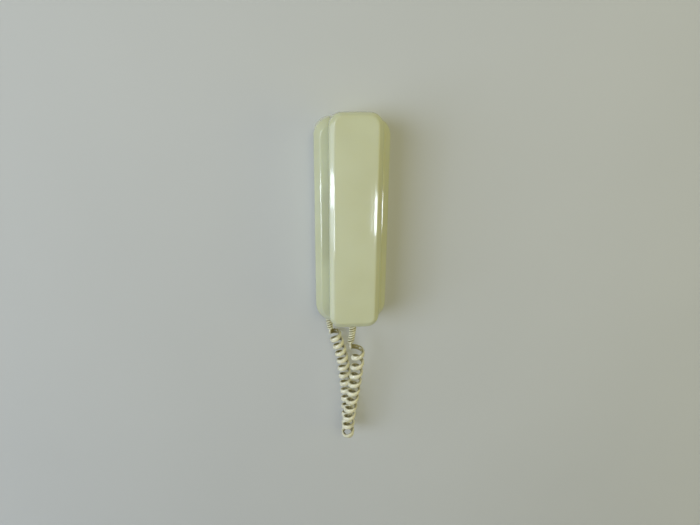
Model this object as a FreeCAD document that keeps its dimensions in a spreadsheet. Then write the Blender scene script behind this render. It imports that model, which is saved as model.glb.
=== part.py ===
import FreeCAD, Part
import math
import os
import re
import Sketcher

# A wall intercom phone: a slim bevelled base on the wall, a handset hung on it, and a curly cord.
# Millimetres. X runs to the right, Y into the wall and Z up. The origin is halfway between the two wall
# holes, on the back face that lies on the wall. Every piece is at Y below zero, and a depth is a
# distance from the wall.

# Driving dimensions
SIZES = {
    # base cover
    "base_width": 74.0,
    "base_height": 214.0,
    "base_middle": -3.0,
    "base_foot_corner": 22.0,
    "base_top_corner": 17.0,
    "base_bevel": 6.0,
    "cover_front": 24.0,
    "cover_lift": 0.5,
    "cover_wall": 2.0,
    "edge_round": 2.4,
    "bevel_round": 2.0,
    # wall plate and what fastens the cover to it
    "plate_thickness": 2.0,
    "plate_gap": 0.3,
    "wall_hole_spacing": 83.5,
    "wall_hole_radius": 2.25,
    "cable_entry_width": 20.0,
    "cable_entry_height": 14.0,
    "cable_entry_below": 24.0,
    "tab_offset": 14.0,
    "tab_width": 10.0,
    "tab_thickness": 2.0,
    "tab_height": 8.0,
    "nib_reach": 1.0,
    "nib_height": 1.5,
    "snap_gap": 0.3,
    "lug_offset": 9.0,
    "lug_width": 10.0,
    "lug_thickness": 7.0,
    "lug_height": 11.0,
    "cover_screw_depth": 8.0,
    "cover_screw_radius": 1.5,
    "cover_screw_length": 8.0,
    # circuit board and what stands on it
    "board_width": 58.0,
    "board_height": 41.0,
    "board_middle": 8.5,
    "board_thickness": 1.6,
    "board_standoff": 3.5,
    "board_boss_radius": 3.0,
    "board_boss_inset": 4.0,
    "board_screw_radius": 1.25,
    "board_screw_length": 4.6,
    "screw_head_ratio": 1.9,
    "screw_gap": 0.2,
    "thread_gap": 0.05,
    "seat_gap": 0.05,
    "terminal_pitch": 5.0,
    "terminal_height": 8.5,
    "terminal_depth": 9.0,
    "terminal_screw_radius": 1.0,
    "terminal_recess": 2.2,
    "terminal_mouth": 3.0,
    "terminal_floor": 1.0,
    "sounder_radius": 12.0,
    "sounder_depth": 8.0,
    "sounder_edge": 1.7,
    "sounder_well": 2.4,
    "sounder_left": 13.0,
    "sounder_up": 13.0,
    "sound_hole_radius": 1.1,
    "sound_hole_ring": 5.0,
    "capacitor_radius": 3.15,
    "capacitor_depth": 11.0,
    "capacitor_edge": 0.3,
    "capacitor_crimp": 0.4,
    "capacitor_crimp_up": 1.9,
    "capacitor_inset": 13.0,
    "capacitor_up": 7.0,
    "far_capacitor_inset": 5.0,
    "far_capacitor_up": 15.0,
    "chip_width": 9.6,
    "chip_height": 6.4,
    "chip_depth": 3.6,
    "chip_right": 2.0,
    "chip_gap": 1.5,
    "chip_mark_radius": 0.75,
    "chip_mark_inset": 1.3,
    "chip_mark_sunk": 0.35,
    "connector_width": 8.0,
    "connector_height": 6.0,
    "connector_depth": 7.8,
    "connector_left": 16.0,
    "connector_up": 2.0,
    "connector_edge": 0.8,
    # hook, spring and switch
    "hook_offset": 14.0,
    "pivot_up": 12.0,
    "pivot_depth": 13.0,
    "pivot_pin_radius": 1.0,
    "pivot_pin_overhang": 0.6,
    "pin_seat_gap": 0.02,
    "running_gap": 0.05,
    "hub_radius": 3.0,
    "lever_width": 6.0,
    "lever_thickness": 3.0,
    "hook_reach": 34.0,
    "nub_height": 6.0,
    "nub_round": 0.8,
    "hook_gap": 0.3,
    "hook_slot_above": 0.7,
    "hook_slot_below": 2.0,
    "hook_slot_side": 0.7,
    "bracket_sheet": 1.0,
    "bracket_side_gap": 0.4,
    "bracket_height": 10.0,
    "bracket_over": 2.4,
    "spring_reach": 24.0,
    "spring_coil_radius": 2.7,
    "spring_wire": 0.65,
    "spring_turns": 4,
    "spring_run_in": 1.2,
    "spring_seat_gap": 0.3,
    "spigot_radius": 1.8,
    "spigot_height": 2.5,
    "lever_spigot_height": 1.2,
    "switch_reach": 10.0,
    "switch_side": 8.0,
    "switch_depth": 3.0,
    "switch_floor": 0.4,
    "plunger_side": 3.0,
    "plunger_gap": 0.3,
    "plunger_round": 0.45,
    # wells, rest pads
    "well_depth": 8.5,
    "well_gap": 0.5,
    "well_rise": 4.0,
    "rest_pad_radius": 3.0,
    "rest_pad_sunk": 1.0,
    "rest_pad_side": 16.0,
    "rest_pad_beyond": 18.0,
    # handset
    "handset_width": 49.2,
    "handset_length": 209.7,
    "handset_middle": 6.65,
    "handset_draft": 1.7,
    "handset_top_corner": 12.5,
    "handset_foot_corner": 12.5,
    "handset_gap": 1.0,
    "handset_split": 45.0,
    "handset_shoulder": 56.0,
    "handset_front": 60.0,
    "front_side_inset": 4.9,
    "front_top_inset": 2.8,
    "front_foot_inset": 6.0,
    "front_top_corner": 8.0,
    "front_foot_corner": 5.0,
    "shoulder_round": 1.4,
    "front_round": 2.6,
    "back_round": 2.0,
    "shell_wall": 2.0,
    "shoulder_drop": 1.2,
    "grip_depth": 36.0,
    "grip_half": 30.0,
    "grip_slope": 10.0,
    "grip_round": 4.0,
    "end_wall": 2.5,
    "cap_radius": 18.0,
    "cap_reach": 7.0,
    "cap_round": 1.5,
    "ear_up": 72.0,
    "mouth_down": 70.0,
    "ear_hole_radius": 1.2,
    "ear_hole_ring": 7.0,
    "mouth_hole_radius": 1.0,
    "mouth_hole_ring": 3.0,
    "gasket_thickness": 1.2,
    "gasket_width": 3.0,
    "capsule_gap": 0.3,
    "receiver_depth": 8.0,
    "receiver_dish": 1.2,
    "receiver_rim": 4.0,
    "receiver_taper": 2.4,
    "receiver_magnet_radius": 9.0,
    "receiver_magnet_depth": 5.0,
    "microphone_radius": 4.9,
    "microphone_depth": 6.0,
    "microphone_boot_wall": 2.0,
    "microphone_boot_floor": 1.0,
    "microphone_boot_lip": 1.0,
    "microphone_port_radius": 2.4,
    "microphone_port_sunk": 0.2,
    "ballast_width": 28.0,
    "ballast_length": 46.0,
    "ballast_thickness": 6.0,
    "ballast_edge": 0.9,
    "case_post_gap": 0.5,
    "case_screw_radius": 1.5,
    "case_screw_length": 11.0,
    "case_boss_radius": 3.5,
    "case_boss_seat": 6.0,
    "case_counterbore": 3.5,
    "case_counterbore_gap": 0.4,
    # cord and its boots
    "cord_wire": 4.0,
    "curl_radius": 5.7,
    "curl_count": 24,
    "curl_pitch_base": 9.6,
    "curl_pitch_handset": 13.2,
    "curl_run_in": 2.5,
    "base_cord_left": 23.5,
    "base_cord_depth": 11.0,
    "handset_cord_left": 0.2,
    "collar_radius": 5.5,
    "collar_up": 2.6,
    "boot_neck_radius": 3.2,
    "boot_hole_gap": 0.3,
    "boot_flange_radius": 4.2,
    "boot_flange": 2.0,
    "boot_slack": 0.8,
    "boot_top_radius": 4.0,
    "boot_tip_radius": 3.3,
    "boot_groove": 0.7,
    "base_boot_length": 14.1,
    "handset_boot_length": 22.8,
    "inner_lead_wire": 3.4,
    "handset_wire": 1.6,
    # how far a cut runs past the face that it starts from
    "cut_margin": 1.0,
}

# Places worked out from the driving dimensions
PLACES = {
    "base_foot": "base_middle - base_height / 2",
    "base_top": "base_middle + base_height / 2",
    "plate_width": "base_width - 2 * (cover_wall + plate_gap)",
    "plate_height": "base_height - 2 * (cover_wall + plate_gap)",
    "plate_foot": "base_middle - plate_height / 2",
    "plate_top": "base_middle + plate_height / 2",
    "cover_foot_inside": "base_foot_corner - cover_wall",
    "cover_top_inside": "base_top_corner - cover_wall",
    "plate_foot_corner": "cover_foot_inside - plate_gap",
    "plate_top_corner": "cover_top_inside - plate_gap",
    "inner_bevel": "base_bevel - (2 - sqrt(2)) * cover_wall",
    "board_back": "plate_thickness + board_standoff",
    "board_front": "board_back + board_thickness",
    "board_boss_side": "board_width / 2 - board_boss_inset",
    "board_boss_high": "board_middle + board_height / 2 - board_boss_inset",
    "board_boss_low": "board_middle - board_height / 2 + board_boss_inset",
    "board_foot": "board_middle - board_height / 2",
    "terminal_middle": "board_foot + terminal_height / 2",
    "connector_middle": "board_foot + connector_up + connector_height / 2",
    "chip_middle": "board_foot + terminal_height + chip_gap + chip_height / 2",
    "terminal_face": "board_front + terminal_depth",
    "nub_up": "pivot_up + hook_reach",
    "spring_up": "pivot_up + spring_reach",
    "switch_up": "pivot_up + switch_reach",
    "lever_inner": "pivot_depth - lever_thickness / 2",
    "bracket_half": "lever_width / 2 + bracket_side_gap + bracket_sheet",
    "handset_back": "cover_front + handset_gap",
    "nub_tip": "handset_back - hook_gap",
    "handset_foot": "handset_middle - handset_length / 2",
    "handset_top": "handset_middle + handset_length / 2",
    "cap_face": "handset_back - cap_reach",
    "cap_floor": "cap_face + shell_wall",
    "well_radius": "cap_radius + well_gap",
    "cap_bore": "cap_radius - shell_wall",
    "receiver_radius": "cap_bore - capsule_gap",
    "inner_half": "handset_width / 2 - shell_wall",
    "receiver_back": "cap_floor + gasket_thickness + receiver_depth + receiver_magnet_depth",
    "microphone_back": "cap_floor + microphone_boot_floor + microphone_depth",
    "grip_rise": "grip_depth - handset_back",
    "grip_floor": "grip_depth + shell_wall",
    "end_start": "grip_half + grip_slope + end_wall",
    "case_screw_level": "end_start + case_post_gap + case_boss_radius",
    "shoulder_inner": "handset_shoulder - shoulder_drop",
    "case_seat": "handset_back + case_boss_seat",
    "case_head_floor": "handset_back + case_counterbore",
    "front_width": "handset_width - 2 * front_side_inset",
    "front_height": "handset_length - front_top_inset - front_foot_inset",
    "front_middle": "handset_middle + (front_foot_inset - front_top_inset) / 2",
    "boot_hole_radius": "boot_neck_radius + boot_hole_gap",
    "base_cord_foot": "base_foot + collar_up",
    "base_boot_tip": "base_boot_length - base_cord_foot",
    "handset_boot_tip": "handset_boot_length - handset_foot",
}

# The cord's route: the middle line that its curls wind round, from under the base, down the wall,
# round a narrow bend and up to the handset, with the points chosen by hand
CURL_AXIS = [
    (-17.8, -11.0, -124.6),
    (-17.6, -11.0, -128.6),
    (-12.8, -10.8, -141.0),
    (-7.6, -10.4, -162.0),
    (-4.8, -9.9, -188.0),
    (-2.4, -9.5, -216.0),
    (-1.8, -9.6, -235.0),
    (-1.8, -9.4, -245.0),
    (-2.2, -16.2, -252.0),
    (-3.0, -25.8, -252.0),
    (-3.4, -32.6, -245.0),
    (-3.2, -32.8, -235.0),
    (-2.0, -34.0, -218.0),
    (1.8, -37.0, -190.0),
    (4.2, -41.5, -162.0),
    (5.5, -45.0, -140.0),
    (5.5, -45.0, -126.0),
]
INNER_LEAD_ROUTE = [
    (-23.5, -11.0, -102.6),
    (-23.5, -11.0, -70.0),
    (-24.0, -9.8, -44.0),
    (-16.0, -11.0, -24.0),
    (-16.0, -11.0, -10.0),
]

# The routes of the wires in the handset: each point across, its depth as a formula, and up
MICROPHONE_WIRE_ROUTE = [
    (1.7, "handset_split", -93.4),
    (1.7, "handset_split", -80.0),
    (0.0, "microphone_back + 13", -70.0),
    (0.0, "microphone_back", -70.0),
]
RECEIVER_WIRE_ROUTE = [
    (-2.1, "handset_split", -93.4),
    (-2.1, "handset_split", -82.0),
    (-12.0, "grip_floor + 5.5", -66.0),
    (-18.5, "grip_floor + 4", -44.0),
    (-18.0, "grip_floor + 4", -12.0),
    (-18.6, "grip_floor + 4", 20.0),
    (-18.0, "grip_floor + 4.5", 44.0),
    (-10.0, "grip_floor + 5", 62.0),
    (-5.0, "receiver_back + 6.8", 72.0),
    (-5.0, "receiver_back", 72.0),
]

BOOT_RIBS = 8
TERMINALS = 4
EAR_HOLES = 8
MOUTH_HOLES = 5
SOUND_HOLES = 6
CAPACITOR_SPOTS = [
    ("board_width / 2 - capacitor_inset", "board_foot + capacitor_up"),
    ("board_width / 2 - far_capacitor_inset", "board_foot + far_capacitor_up"),
]

# A screw's proportions, as shares of its radius or of its head
HEAD_RISE = 1.2
HEAD_RIM = 0.5
HEAD_CROWN = 0.7
TIP_WIDTH = 0.7
RECESS_WIDTH = 0.45
RECESS_LENGTH = 2
RECESS_DEPTH = 0.55

# The share of a straight run that an arc may take at each of its ends
ARC_SHARE = 0.45

V = FreeCAD.Vector
ACROSS = V(1, 0, 0)
OUTWARD = FreeCAD.Rotation(ACROSS, 90)
INWARD = FreeCAD.Rotation(ACROSS, -90)
DOWNWARD = FreeCAD.Rotation(ACROSS, 180)

doc = FreeCAD.newDocument("wall_intercom_phone")
sheet = doc.addObject("Spreadsheet::Sheet", "dims")
for row, (alias, number) in enumerate(SIZES.items(), start=1):
    sheet.set(f"A{row}", str(number))
    sheet.setAlias(f"A{row}", alias)
doc.recompute()

nodes = {}


# Formulas and sketches


def formula(words):
    """Spell out a formula: a driving dimension becomes its cell, a place its own formula."""

    def spell(found):
        word = found.group()
        if word in SIZES:
            return f"dims.{word}"
        return f"({formula(PLACES[word])})" if word in PLACES else word

    return re.sub(r"[a-z_]+", spell, words)


def size(words):
    """The number that a formula comes to."""
    return float(sheet.evalExpression(formula(words)))


def bind(made, prop, words):
    made.setExpression(prop, formula(words))


def node(made, name):
    """Name a finished sub-part."""
    made.Label = name
    nodes[name] = made
    return made


def new_body(name):
    return node(doc.addObject("PartDesign::Body", name), name)


def sketch(body, role, right="0", up="0", out="0"):
    """A sketch on one of the body's own planes, with its origin moved by three formulas.

    On XZ_Plane the sketch's axes are X and Z, and out is a depth from the wall. On YZ_Plane they are
    Y and Z, with out along X, and on XY_Plane they are X and Y, with out along Z.
    """
    drawn = body.newObject("Sketcher::SketchObject", f"{body.Name}_sketch")
    plane = next(f for f in body.Origin.OriginFeatures if f.Role == role)
    drawn.AttachmentSupport = [(plane, "")]
    drawn.MapMode = "FlatFace"
    for axis, words in zip("xyz", (right, up, out)):
        bind(drawn, f"AttachmentOffset.Base.{axis}", words)
    return drawn


def fix(drawn, words, kind, *where):
    """A dimension in a sketch, bound to a formula."""
    index = drawn.addConstraint(Sketcher.Constraint(kind, *where, size(words)))
    bind(drawn, f"Constraints[{index}]", words)


def polygon(drawn, corners):
    """A closed line through corners, each a pair of formulas."""
    places = [V(size(a), size(b), 0) for a, b in corners]
    count, first = len(places), drawn.GeometryCount
    for k in range(count):
        drawn.addGeometry(Part.LineSegment(places[k], places[(k + 1) % count]))
    for k in range(count):
        drawn.addConstraint(Sketcher.Constraint("Coincident", first + k, 2, first + (k + 1) % count, 1))
    for k, (a, b) in enumerate(corners):
        fix(drawn, a, "DistanceX", -1, 1, first + k, 1)
        fix(drawn, b, "DistanceY", -1, 1, first + k, 1)


def rectangle(drawn, width, height, right="0", up="0"):
    """A rectangle of two formulas, about a middle given by two more."""
    left, wide = f"({right}) - ({width}) / 2", f"({right}) + ({width}) / 2"
    low, high = f"({up}) - ({height}) / 2", f"({up}) + ({height}) / 2"
    polygon(drawn, [(left, low), (wide, low), (wide, high), (left, high)])


def circle(drawn, radius, right="0", up="0"):
    middle = V(size(right), size(up), 0)
    index = drawn.addGeometry(Part.Circle(middle, V(0, 0, 1), size(radius)))
    fix(drawn, radius, "Radius", index)
    fix(drawn, right, "DistanceX", -1, 1, index, 3)
    fix(drawn, up, "DistanceY", -1, 1, index, 3)


def ring_of_circles(drawn, radius, ring, count, right="0", up="0"):
    """Equal circles spaced evenly on a larger one, and one in its middle."""
    circle(drawn, radius, right, up)
    for k in range(count):
        turn = 360 * k / count
        circle(drawn, radius, f"({right}) + ({ring}) * cos({turn})", f"({up}) + ({ring}) * sin({turn})")


def round_corner(drawn, x, y, radius, start):
    """A quarter circle, run counter-clockwise from an angle in degrees."""
    whole = Part.Circle(V(x, y, 0), V(0, 0, 1), radius)
    return drawn.addGeometry(Part.ArcOfCircle(whole, math.radians(start), math.radians(start + 90)))


def rounded(drawn, width, height, foot_corner, top_corner):
    """A rectangle about the sketch's origin, whose corners are tangent arcs."""
    x, y, low, high = size(width) / 2, size(height) / 2, size(foot_corner), size(top_corner)
    sides = [
        (V(low - x, -y, 0), V(x - low, -y, 0), "Horizontal", "DistanceY", f"-({height}) / 2"),
        (V(x, low - y, 0), V(x, y - high, 0), "Vertical", "DistanceX", f"({width}) / 2"),
        (V(x - high, y, 0), V(high - x, y, 0), "Horizontal", "DistanceY", f"({height}) / 2"),
        (V(-x, y - high, 0), V(-x, low - y, 0), "Vertical", "DistanceX", f"-({width}) / 2"),
    ]
    corners = [
        (x - low, low - y, low),
        (x - high, y - high, high),
        (high - x, y - high, high),
        (low - x, low - y, low),
    ]
    for k, ((start, end, *_), (cx, cy, radius)) in enumerate(zip(sides, corners)):
        drawn.addGeometry(Part.LineSegment(start, end))
        round_corner(drawn, cx, cy, radius, 270 + 90 * k)
    for k in range(8):
        drawn.addConstraint(Sketcher.Constraint("Tangent", k, 2, (k + 1) % 8, 1))
    for k, (_, _, level, distance, words) in enumerate(sides):
        drawn.addConstraint(Sketcher.Constraint(level, 2 * k))
        fix(drawn, words, distance, -1, 1, 2 * k, 1)
    for k, words in enumerate((foot_corner, top_corner, top_corner, foot_corner)):
        fix(drawn, words, "Radius", 2 * k + 1)


def obround(drawn, radius, rise):
    """A slot whose lower end is round about the sketch's origin and whose upper end is higher by rise."""
    r, high = size(radius), size(rise)
    ends = ((0, math.pi, 2 * math.pi), (high, 0, math.pi))
    for middle, start, end in ends:
        whole = Part.Circle(V(0, middle, 0), V(0, 0, 1), r)
        drawn.addGeometry(Part.ArcOfCircle(whole, start, end))
    drawn.addGeometry(Part.LineSegment(V(r, 0, 0), V(r, high, 0)))
    drawn.addGeometry(Part.LineSegment(V(-r, high, 0), V(-r, 0, 0)))
    for a, b in ((0, 2), (2, 1), (1, 3), (3, 0)):
        drawn.addConstraint(Sketcher.Constraint("Tangent", a, 2, b, 1))
    drawn.addConstraint(Sketcher.Constraint("Coincident", 0, 3, -1, 1))
    drawn.addConstraint(Sketcher.Constraint("Vertical", 2))
    fix(drawn, radius, "Radius", 0)
    fix(drawn, rise, "DistanceY", -1, 1, 1, 3)


# Features


def pad(body, drawn, length):
    made = body.newObject("PartDesign::Pad", f"{body.Name}_pad")
    made.Profile = drawn
    bind(made, "Length", length)
    doc.recompute()
    return made


def pocket(body, drawn, length, forward=False):
    """Cut into the body: against the sketch's normal, or along it where forward is true."""
    before = body.Shape.Volume
    made = body.newObject("PartDesign::Pocket", f"{body.Name}_pocket")
    made.Profile = drawn
    made.Reversed = forward
    bind(made, "Length", length)
    doc.recompute()
    if not body.Shape.Volume < before:
        raise ValueError(f"a pocket of {body.Label} cuts nothing")
    return made


def loft(body, kind, low, high):
    made = body.newObject(f"PartDesign::{kind}Loft", f"{body.Name}_loft")
    made.Profile = low
    made.Sections = [high]
    made.Ruled = True
    doc.recompute()
    return made


def revolve(body, drawn):
    made = body.newObject("PartDesign::Revolution", f"{body.Name}_revolution")
    made.Profile = drawn
    made.ReferenceAxis = (drawn, ["V_Axis"])
    made.Angle = 360
    doc.recompute()
    return made


def dress(body, kind, wanted, prop, words):
    """Chamfer or fillet the edges of the body's last feature that a test picks."""
    last = body.Tip
    names = [f"Edge{k}" for k, edge in enumerate(last.Shape.Edges, start=1) if wanted(edge)]
    if not names:
        raise ValueError(f"no edge of {body.Label} to dress")
    made = body.newObject(f"PartDesign::{kind}", f"{body.Name}_{kind.lower()}")
    made.Base = (last, names)
    bind(made, prop, words)
    doc.recompute()
    return made


def at_depth(words):
    """A test for edges that lie at one depth from the wall."""
    y = -size(words)

    def wanted(edge):
        return max(abs(edge.BoundBox.YMin - y), abs(edge.BoundBox.YMax - y)) < 1e-4

    return wanted


def place(made, right, depth, up, turn=None):
    """Bind where a sub-part stands: across, out from the wall and up."""
    if turn:
        made.Placement = FreeCAD.Placement(V(), turn)
    bind(made, "Placement.Base.x", right)
    bind(made, "Placement.Base.y", f"-({depth})")
    bind(made, "Placement.Base.z", up)
    return made


def group(name, made):
    """Several separate solids as one sub-part."""
    held = doc.addObject("Part::Compound", name)
    held.Links = made
    doc.recompute()
    return node(held, name)


def turned(name, profile):
    """A body of revolution about its own Z axis, from half of its section as pairs of formulas."""
    body = doc.addObject("PartDesign::Body", name)
    drawn = sketch(body, "XZ_Plane")
    polygon(drawn, profile)
    revolve(body, drawn)
    return body


def screw(name, radius, length):
    """A pan-head screw with a cross recess: its head above the origin, its shank below."""
    head, tall = f"screw_head_ratio * {radius}", f"{HEAD_RISE} * {radius}"
    profile = [
        ("0", f"-({length})"),
        (f"{TIP_WIDTH} * {radius}", f"-({length})"),
        (radius, f"{radius} - ({length})"),
        (radius, "0"),
        (head, "0"),
        (head, f"{HEAD_RIM} * {tall}"),
        (f"{HEAD_CROWN} * ({head})", tall),
        ("0", tall),
    ]
    body = turned(name, profile)
    for width, height in ((RECESS_WIDTH, RECESS_LENGTH), (RECESS_LENGTH, RECESS_WIDTH)):
        drawn = sketch(body, "XY_Plane", out=tall)
        rectangle(drawn, f"{width} * {radius}", f"{height} * {radius}")
        pocket(body, drawn, f"{RECESS_DEPTH} * {tall}")
    return body


# Tubes


def rounded_wire(points):
    """Straight runs joined by tangent arcs, each as large as its runs allow; gives the radii too."""
    edges, radii, start = [], [], points[0]
    for before, corner, after in zip(points, points[1:], points[2:]):
        come, leave = corner - before, after - corner
        turn = come.getAngle(leave)
        cut = ARC_SHARE * min(come.Length, leave.Length)
        radii.append(cut / math.tan(turn / 2))
        first = corner - come.normalize() * cut
        last = corner + leave.normalize() * cut
        inner = (first + last) * 0.5 - corner
        reach = radii[-1] / math.cos(turn / 2) - radii[-1]
        middle = corner + inner.normalize() * reach
        edges.append(Part.LineSegment(start, first).toShape())
        edges.append(Part.Arc(first, middle, last).toShape())
        start = last
    edges.append(Part.LineSegment(start, points[-1]).toShape())
    return Part.Wire(edges), radii


def swept(wire, radius):
    """A solid round tube along a smooth wire."""
    first = wire.Edges[0]
    start = first.valueAt(first.FirstParameter)
    along = first.tangentAt(first.FirstParameter)
    profile = Part.Wire([Part.Circle(start, along, radius).toShape()])
    shell = Part.BRepOffsetAPI.MakePipeShell(wire)
    shell.add(profile)
    shell.build()
    shell.makeSolid()
    return shell.shape()


def tell_tube(name, solid, wire, radius, radii):
    ratio = solid.Volume / (math.pi * radius**2 * wire.Length)
    print(f"{name}: length {wire.Length:.1f}, tightest arc {min(radii):.1f}, volume ratio {ratio:.4f}")


def plain_tube(name, points, diameter):
    wire, radii = rounded_wire(points)
    solid = swept(wire, size(diameter) / 2)
    tell_tube(name, solid, wire, size(diameter) / 2, radii)
    return solid


def biarc(start, start_way, end, end_way):
    """Two arcs that leave start and reach end in given directions and meet smoothly; gives the radii too."""
    chord, ways = end - start, start_way + end_way
    spread = 2 * (1 - start_way.dot(end_way))
    reach = (math.sqrt(chord.dot(ways) ** 2 + spread * chord.dot(chord)) - chord.dot(ways)) / spread
    hinges = start + start_way * reach, end - end_way * reach
    meet = (hinges[0] + hinges[1]) * 0.5
    arcs, radii = [], []
    for first, hinge, last in ((start, hinges[0], meet), (meet, hinges[1], end)):
        weight = (last - first).Length / (2 * reach)
        middle = (first + hinge * (2 * weight) + last) * (1 / (2 + 2 * weight))
        arcs.append(Part.Arc(first, middle, last).toShape())
        radii.append(arcs[-1].Curve.Radius)
    return arcs, radii


def curl_rate(share, run_in, first_pitch, last_pitch):
    """How fast the curls turn at a share of the axis: not at both ends, then one turn in each pitch."""
    eased = min(1.0, share / run_in, (1 - share) / run_in)
    smooth = eased * eased * (3 - 2 * eased)
    return smooth / (first_pitch + (last_pitch - first_pitch) * share)


def wound_wire(axis, coil, turns, run_in, pitches, stub):
    """A right-handed helix round a curve, as quarter-turn biarcs, with a straight stub at each end.

    The wire starts and ends on the coil's left side, along the axis. run_in is the share of the axis in
    which the curls gain their pace, and the two pitches say how the curls open from one end to the other.
    """
    steps = 4000
    low, high = axis.FirstParameter, axis.LastParameter
    lengths, winding = [0.0], [0.0]
    spots = [axis.value(low + (high - low) * k / steps) for k in range(steps + 1)]
    for before, after in zip(spots, spots[1:]):
        lengths.append(lengths[-1] + (after - before).Length)
    for before, after in zip(lengths, lengths[1:]):
        share = (before + after) / 2 / lengths[-1]
        winding.append(winding[-1] + (after - before) * curl_rate(share, run_in, *pitches))

    def wire_at(k, part):
        """The wire's point at a place between two steps of the axis."""
        where = low + (high - low) * (k + part) / steps
        way = axis.tangent(where)[0]
        side = (ACROSS - way * ACROSS.dot(way)).normalize()
        wound = winding[k] + (winding[min(k + 1, steps)] - winding[k]) * part
        turn = math.pi + 2 * math.pi * turns * wound / winding[-1]
        return axis.value(where) + (side * math.cos(turn) + way.cross(side) * math.sin(turn)) * coil

    knots, ways, k = [], [], 0
    for quarter in range(4 * turns + 1):
        goal = winding[-1] * quarter / (4 * turns)
        while k < steps - 1 and winding[k + 1] < goal:
            k += 1
        part = (goal - winding[k]) / (winding[k + 1] - winding[k])
        knots.append(wire_at(k, min(max(part, 0.0), 1.0)))
        ways.append((wire_at(min(k + 1, steps - 1), 1.0) - wire_at(max(k - 1, 0), 0.0)).normalize())
    ways[0] = axis.tangent(low)[0]
    ways[-1] = axis.tangent(high)[0]
    edges = [Part.LineSegment(knots[0] - ways[0] * stub, knots[0]).toShape()]
    radii = []
    for spot in range(4 * turns):
        arcs, bends = biarc(knots[spot], ways[spot], knots[spot + 1], ways[spot + 1])
        edges += arcs
        radii += bends
    edges.append(Part.LineSegment(knots[-1], knots[-1] + ways[-1] * stub).toShape())
    return Part.Wire(edges), radii


def least_gap(wire, diameter):
    """The smallest distance between a tube's own turns, measured on points along its middle line."""
    step = diameter / 4
    points = wire.discretize(Distance=step)
    apart = int(2.5 * diameter / step)
    closest = min(
        (points[i] - points[j]).Length for i in range(len(points)) for j in range(i + apart, len(points))
    )
    return closest - diameter


def wound_tube(name, axis, coil, diameter, turns, run_in, pitches):
    wire, radii = wound_wire(axis, coil, turns, run_in, pitches, diameter / 2)
    solid = swept(wire, diameter / 2)
    tell_tube(name, solid, wire, diameter / 2, radii)
    print(f"{name}: least gap to itself {least_gap(wire, diameter):.2f}")
    return solid


def shaped(name, shape):
    """A sub-part whose shape is worked out here."""
    made = doc.addObject("Part::Feature", name)
    made.Shape = shape
    return node(made, name)


# Wall plate: a flat plate with bosses for the board, two snap tabs, a lug and a spigot for the spring


def make_wall_plate():
    body = new_body("wall_plate")
    outline = sketch(body, "XZ_Plane", "0", "base_middle", "0")
    rounded(outline, "plate_width", "plate_height", "plate_foot_corner", "plate_top_corner")
    pad(body, outline, "plate_thickness")
    bosses = sketch(body, "XZ_Plane", out="plate_thickness / 2")
    for side in ("-board_boss_side", "board_boss_side"):
        for level in ("board_boss_low", "board_boss_high"):
            circle(bosses, "board_boss_radius", side, level)
    pad(body, bosses, "board_standoff + plate_thickness / 2")
    spigot = sketch(body, "XZ_Plane", out="plate_thickness / 2")
    circle(spigot, "spigot_radius", "hook_offset", "spring_up")
    pad(body, spigot, "spigot_height + plate_thickness / 2")
    lug = sketch(body, "XZ_Plane", out="plate_thickness / 2")
    rectangle(lug, "lug_width", "lug_thickness", "lug_offset", "plate_foot + lug_thickness / 2")
    pad(body, lug, "lug_height + plate_thickness / 2")
    tabs = sketch(body, "XZ_Plane", out="plate_thickness / 2")
    nibs = sketch(body, "XZ_Plane", out="plate_thickness + tab_height - nib_height")
    for side in ("-tab_offset", "tab_offset"):
        rectangle(tabs, "tab_width", "tab_thickness", side, "plate_top - tab_thickness / 2")
        middle = "plate_top + (nib_reach - tab_thickness) / 2"
        rectangle(nibs, "tab_width", "tab_thickness + nib_reach", side, middle)
    pad(body, tabs, "tab_height + plate_thickness / 2")
    pad(body, nibs, "nib_height")
    wall_holes = sketch(body, "XZ_Plane", out="plate_thickness")
    for level in ("-wall_hole_spacing / 2", "wall_hole_spacing / 2"):
        circle(wall_holes, "wall_hole_radius", "0", level)
    pocket(body, wall_holes, "plate_thickness")
    entry = sketch(body, "XZ_Plane", out="plate_thickness")
    rectangle(entry, "cable_entry_width", "cable_entry_height", "0", "-cable_entry_below")
    pocket(body, entry, "plate_thickness")
    pilots = sketch(body, "XZ_Plane", out="board_back")
    for side in ("-board_boss_side", "board_boss_side"):
        for level in ("board_boss_low", "board_boss_high"):
            circle(pilots, "board_screw_radius + thread_gap", side, level)
    pocket(body, pilots, "board_standoff")
    lug_pilot = sketch(body, "XY_Plane", out="plate_foot")
    circle(lug_pilot, "cover_screw_radius + thread_gap", "lug_offset", "-cover_screw_depth")
    pocket(body, lug_pilot, "lug_thickness", forward=True)


# Base cover: a bevelled shell with two wells for the handset's caps


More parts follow.
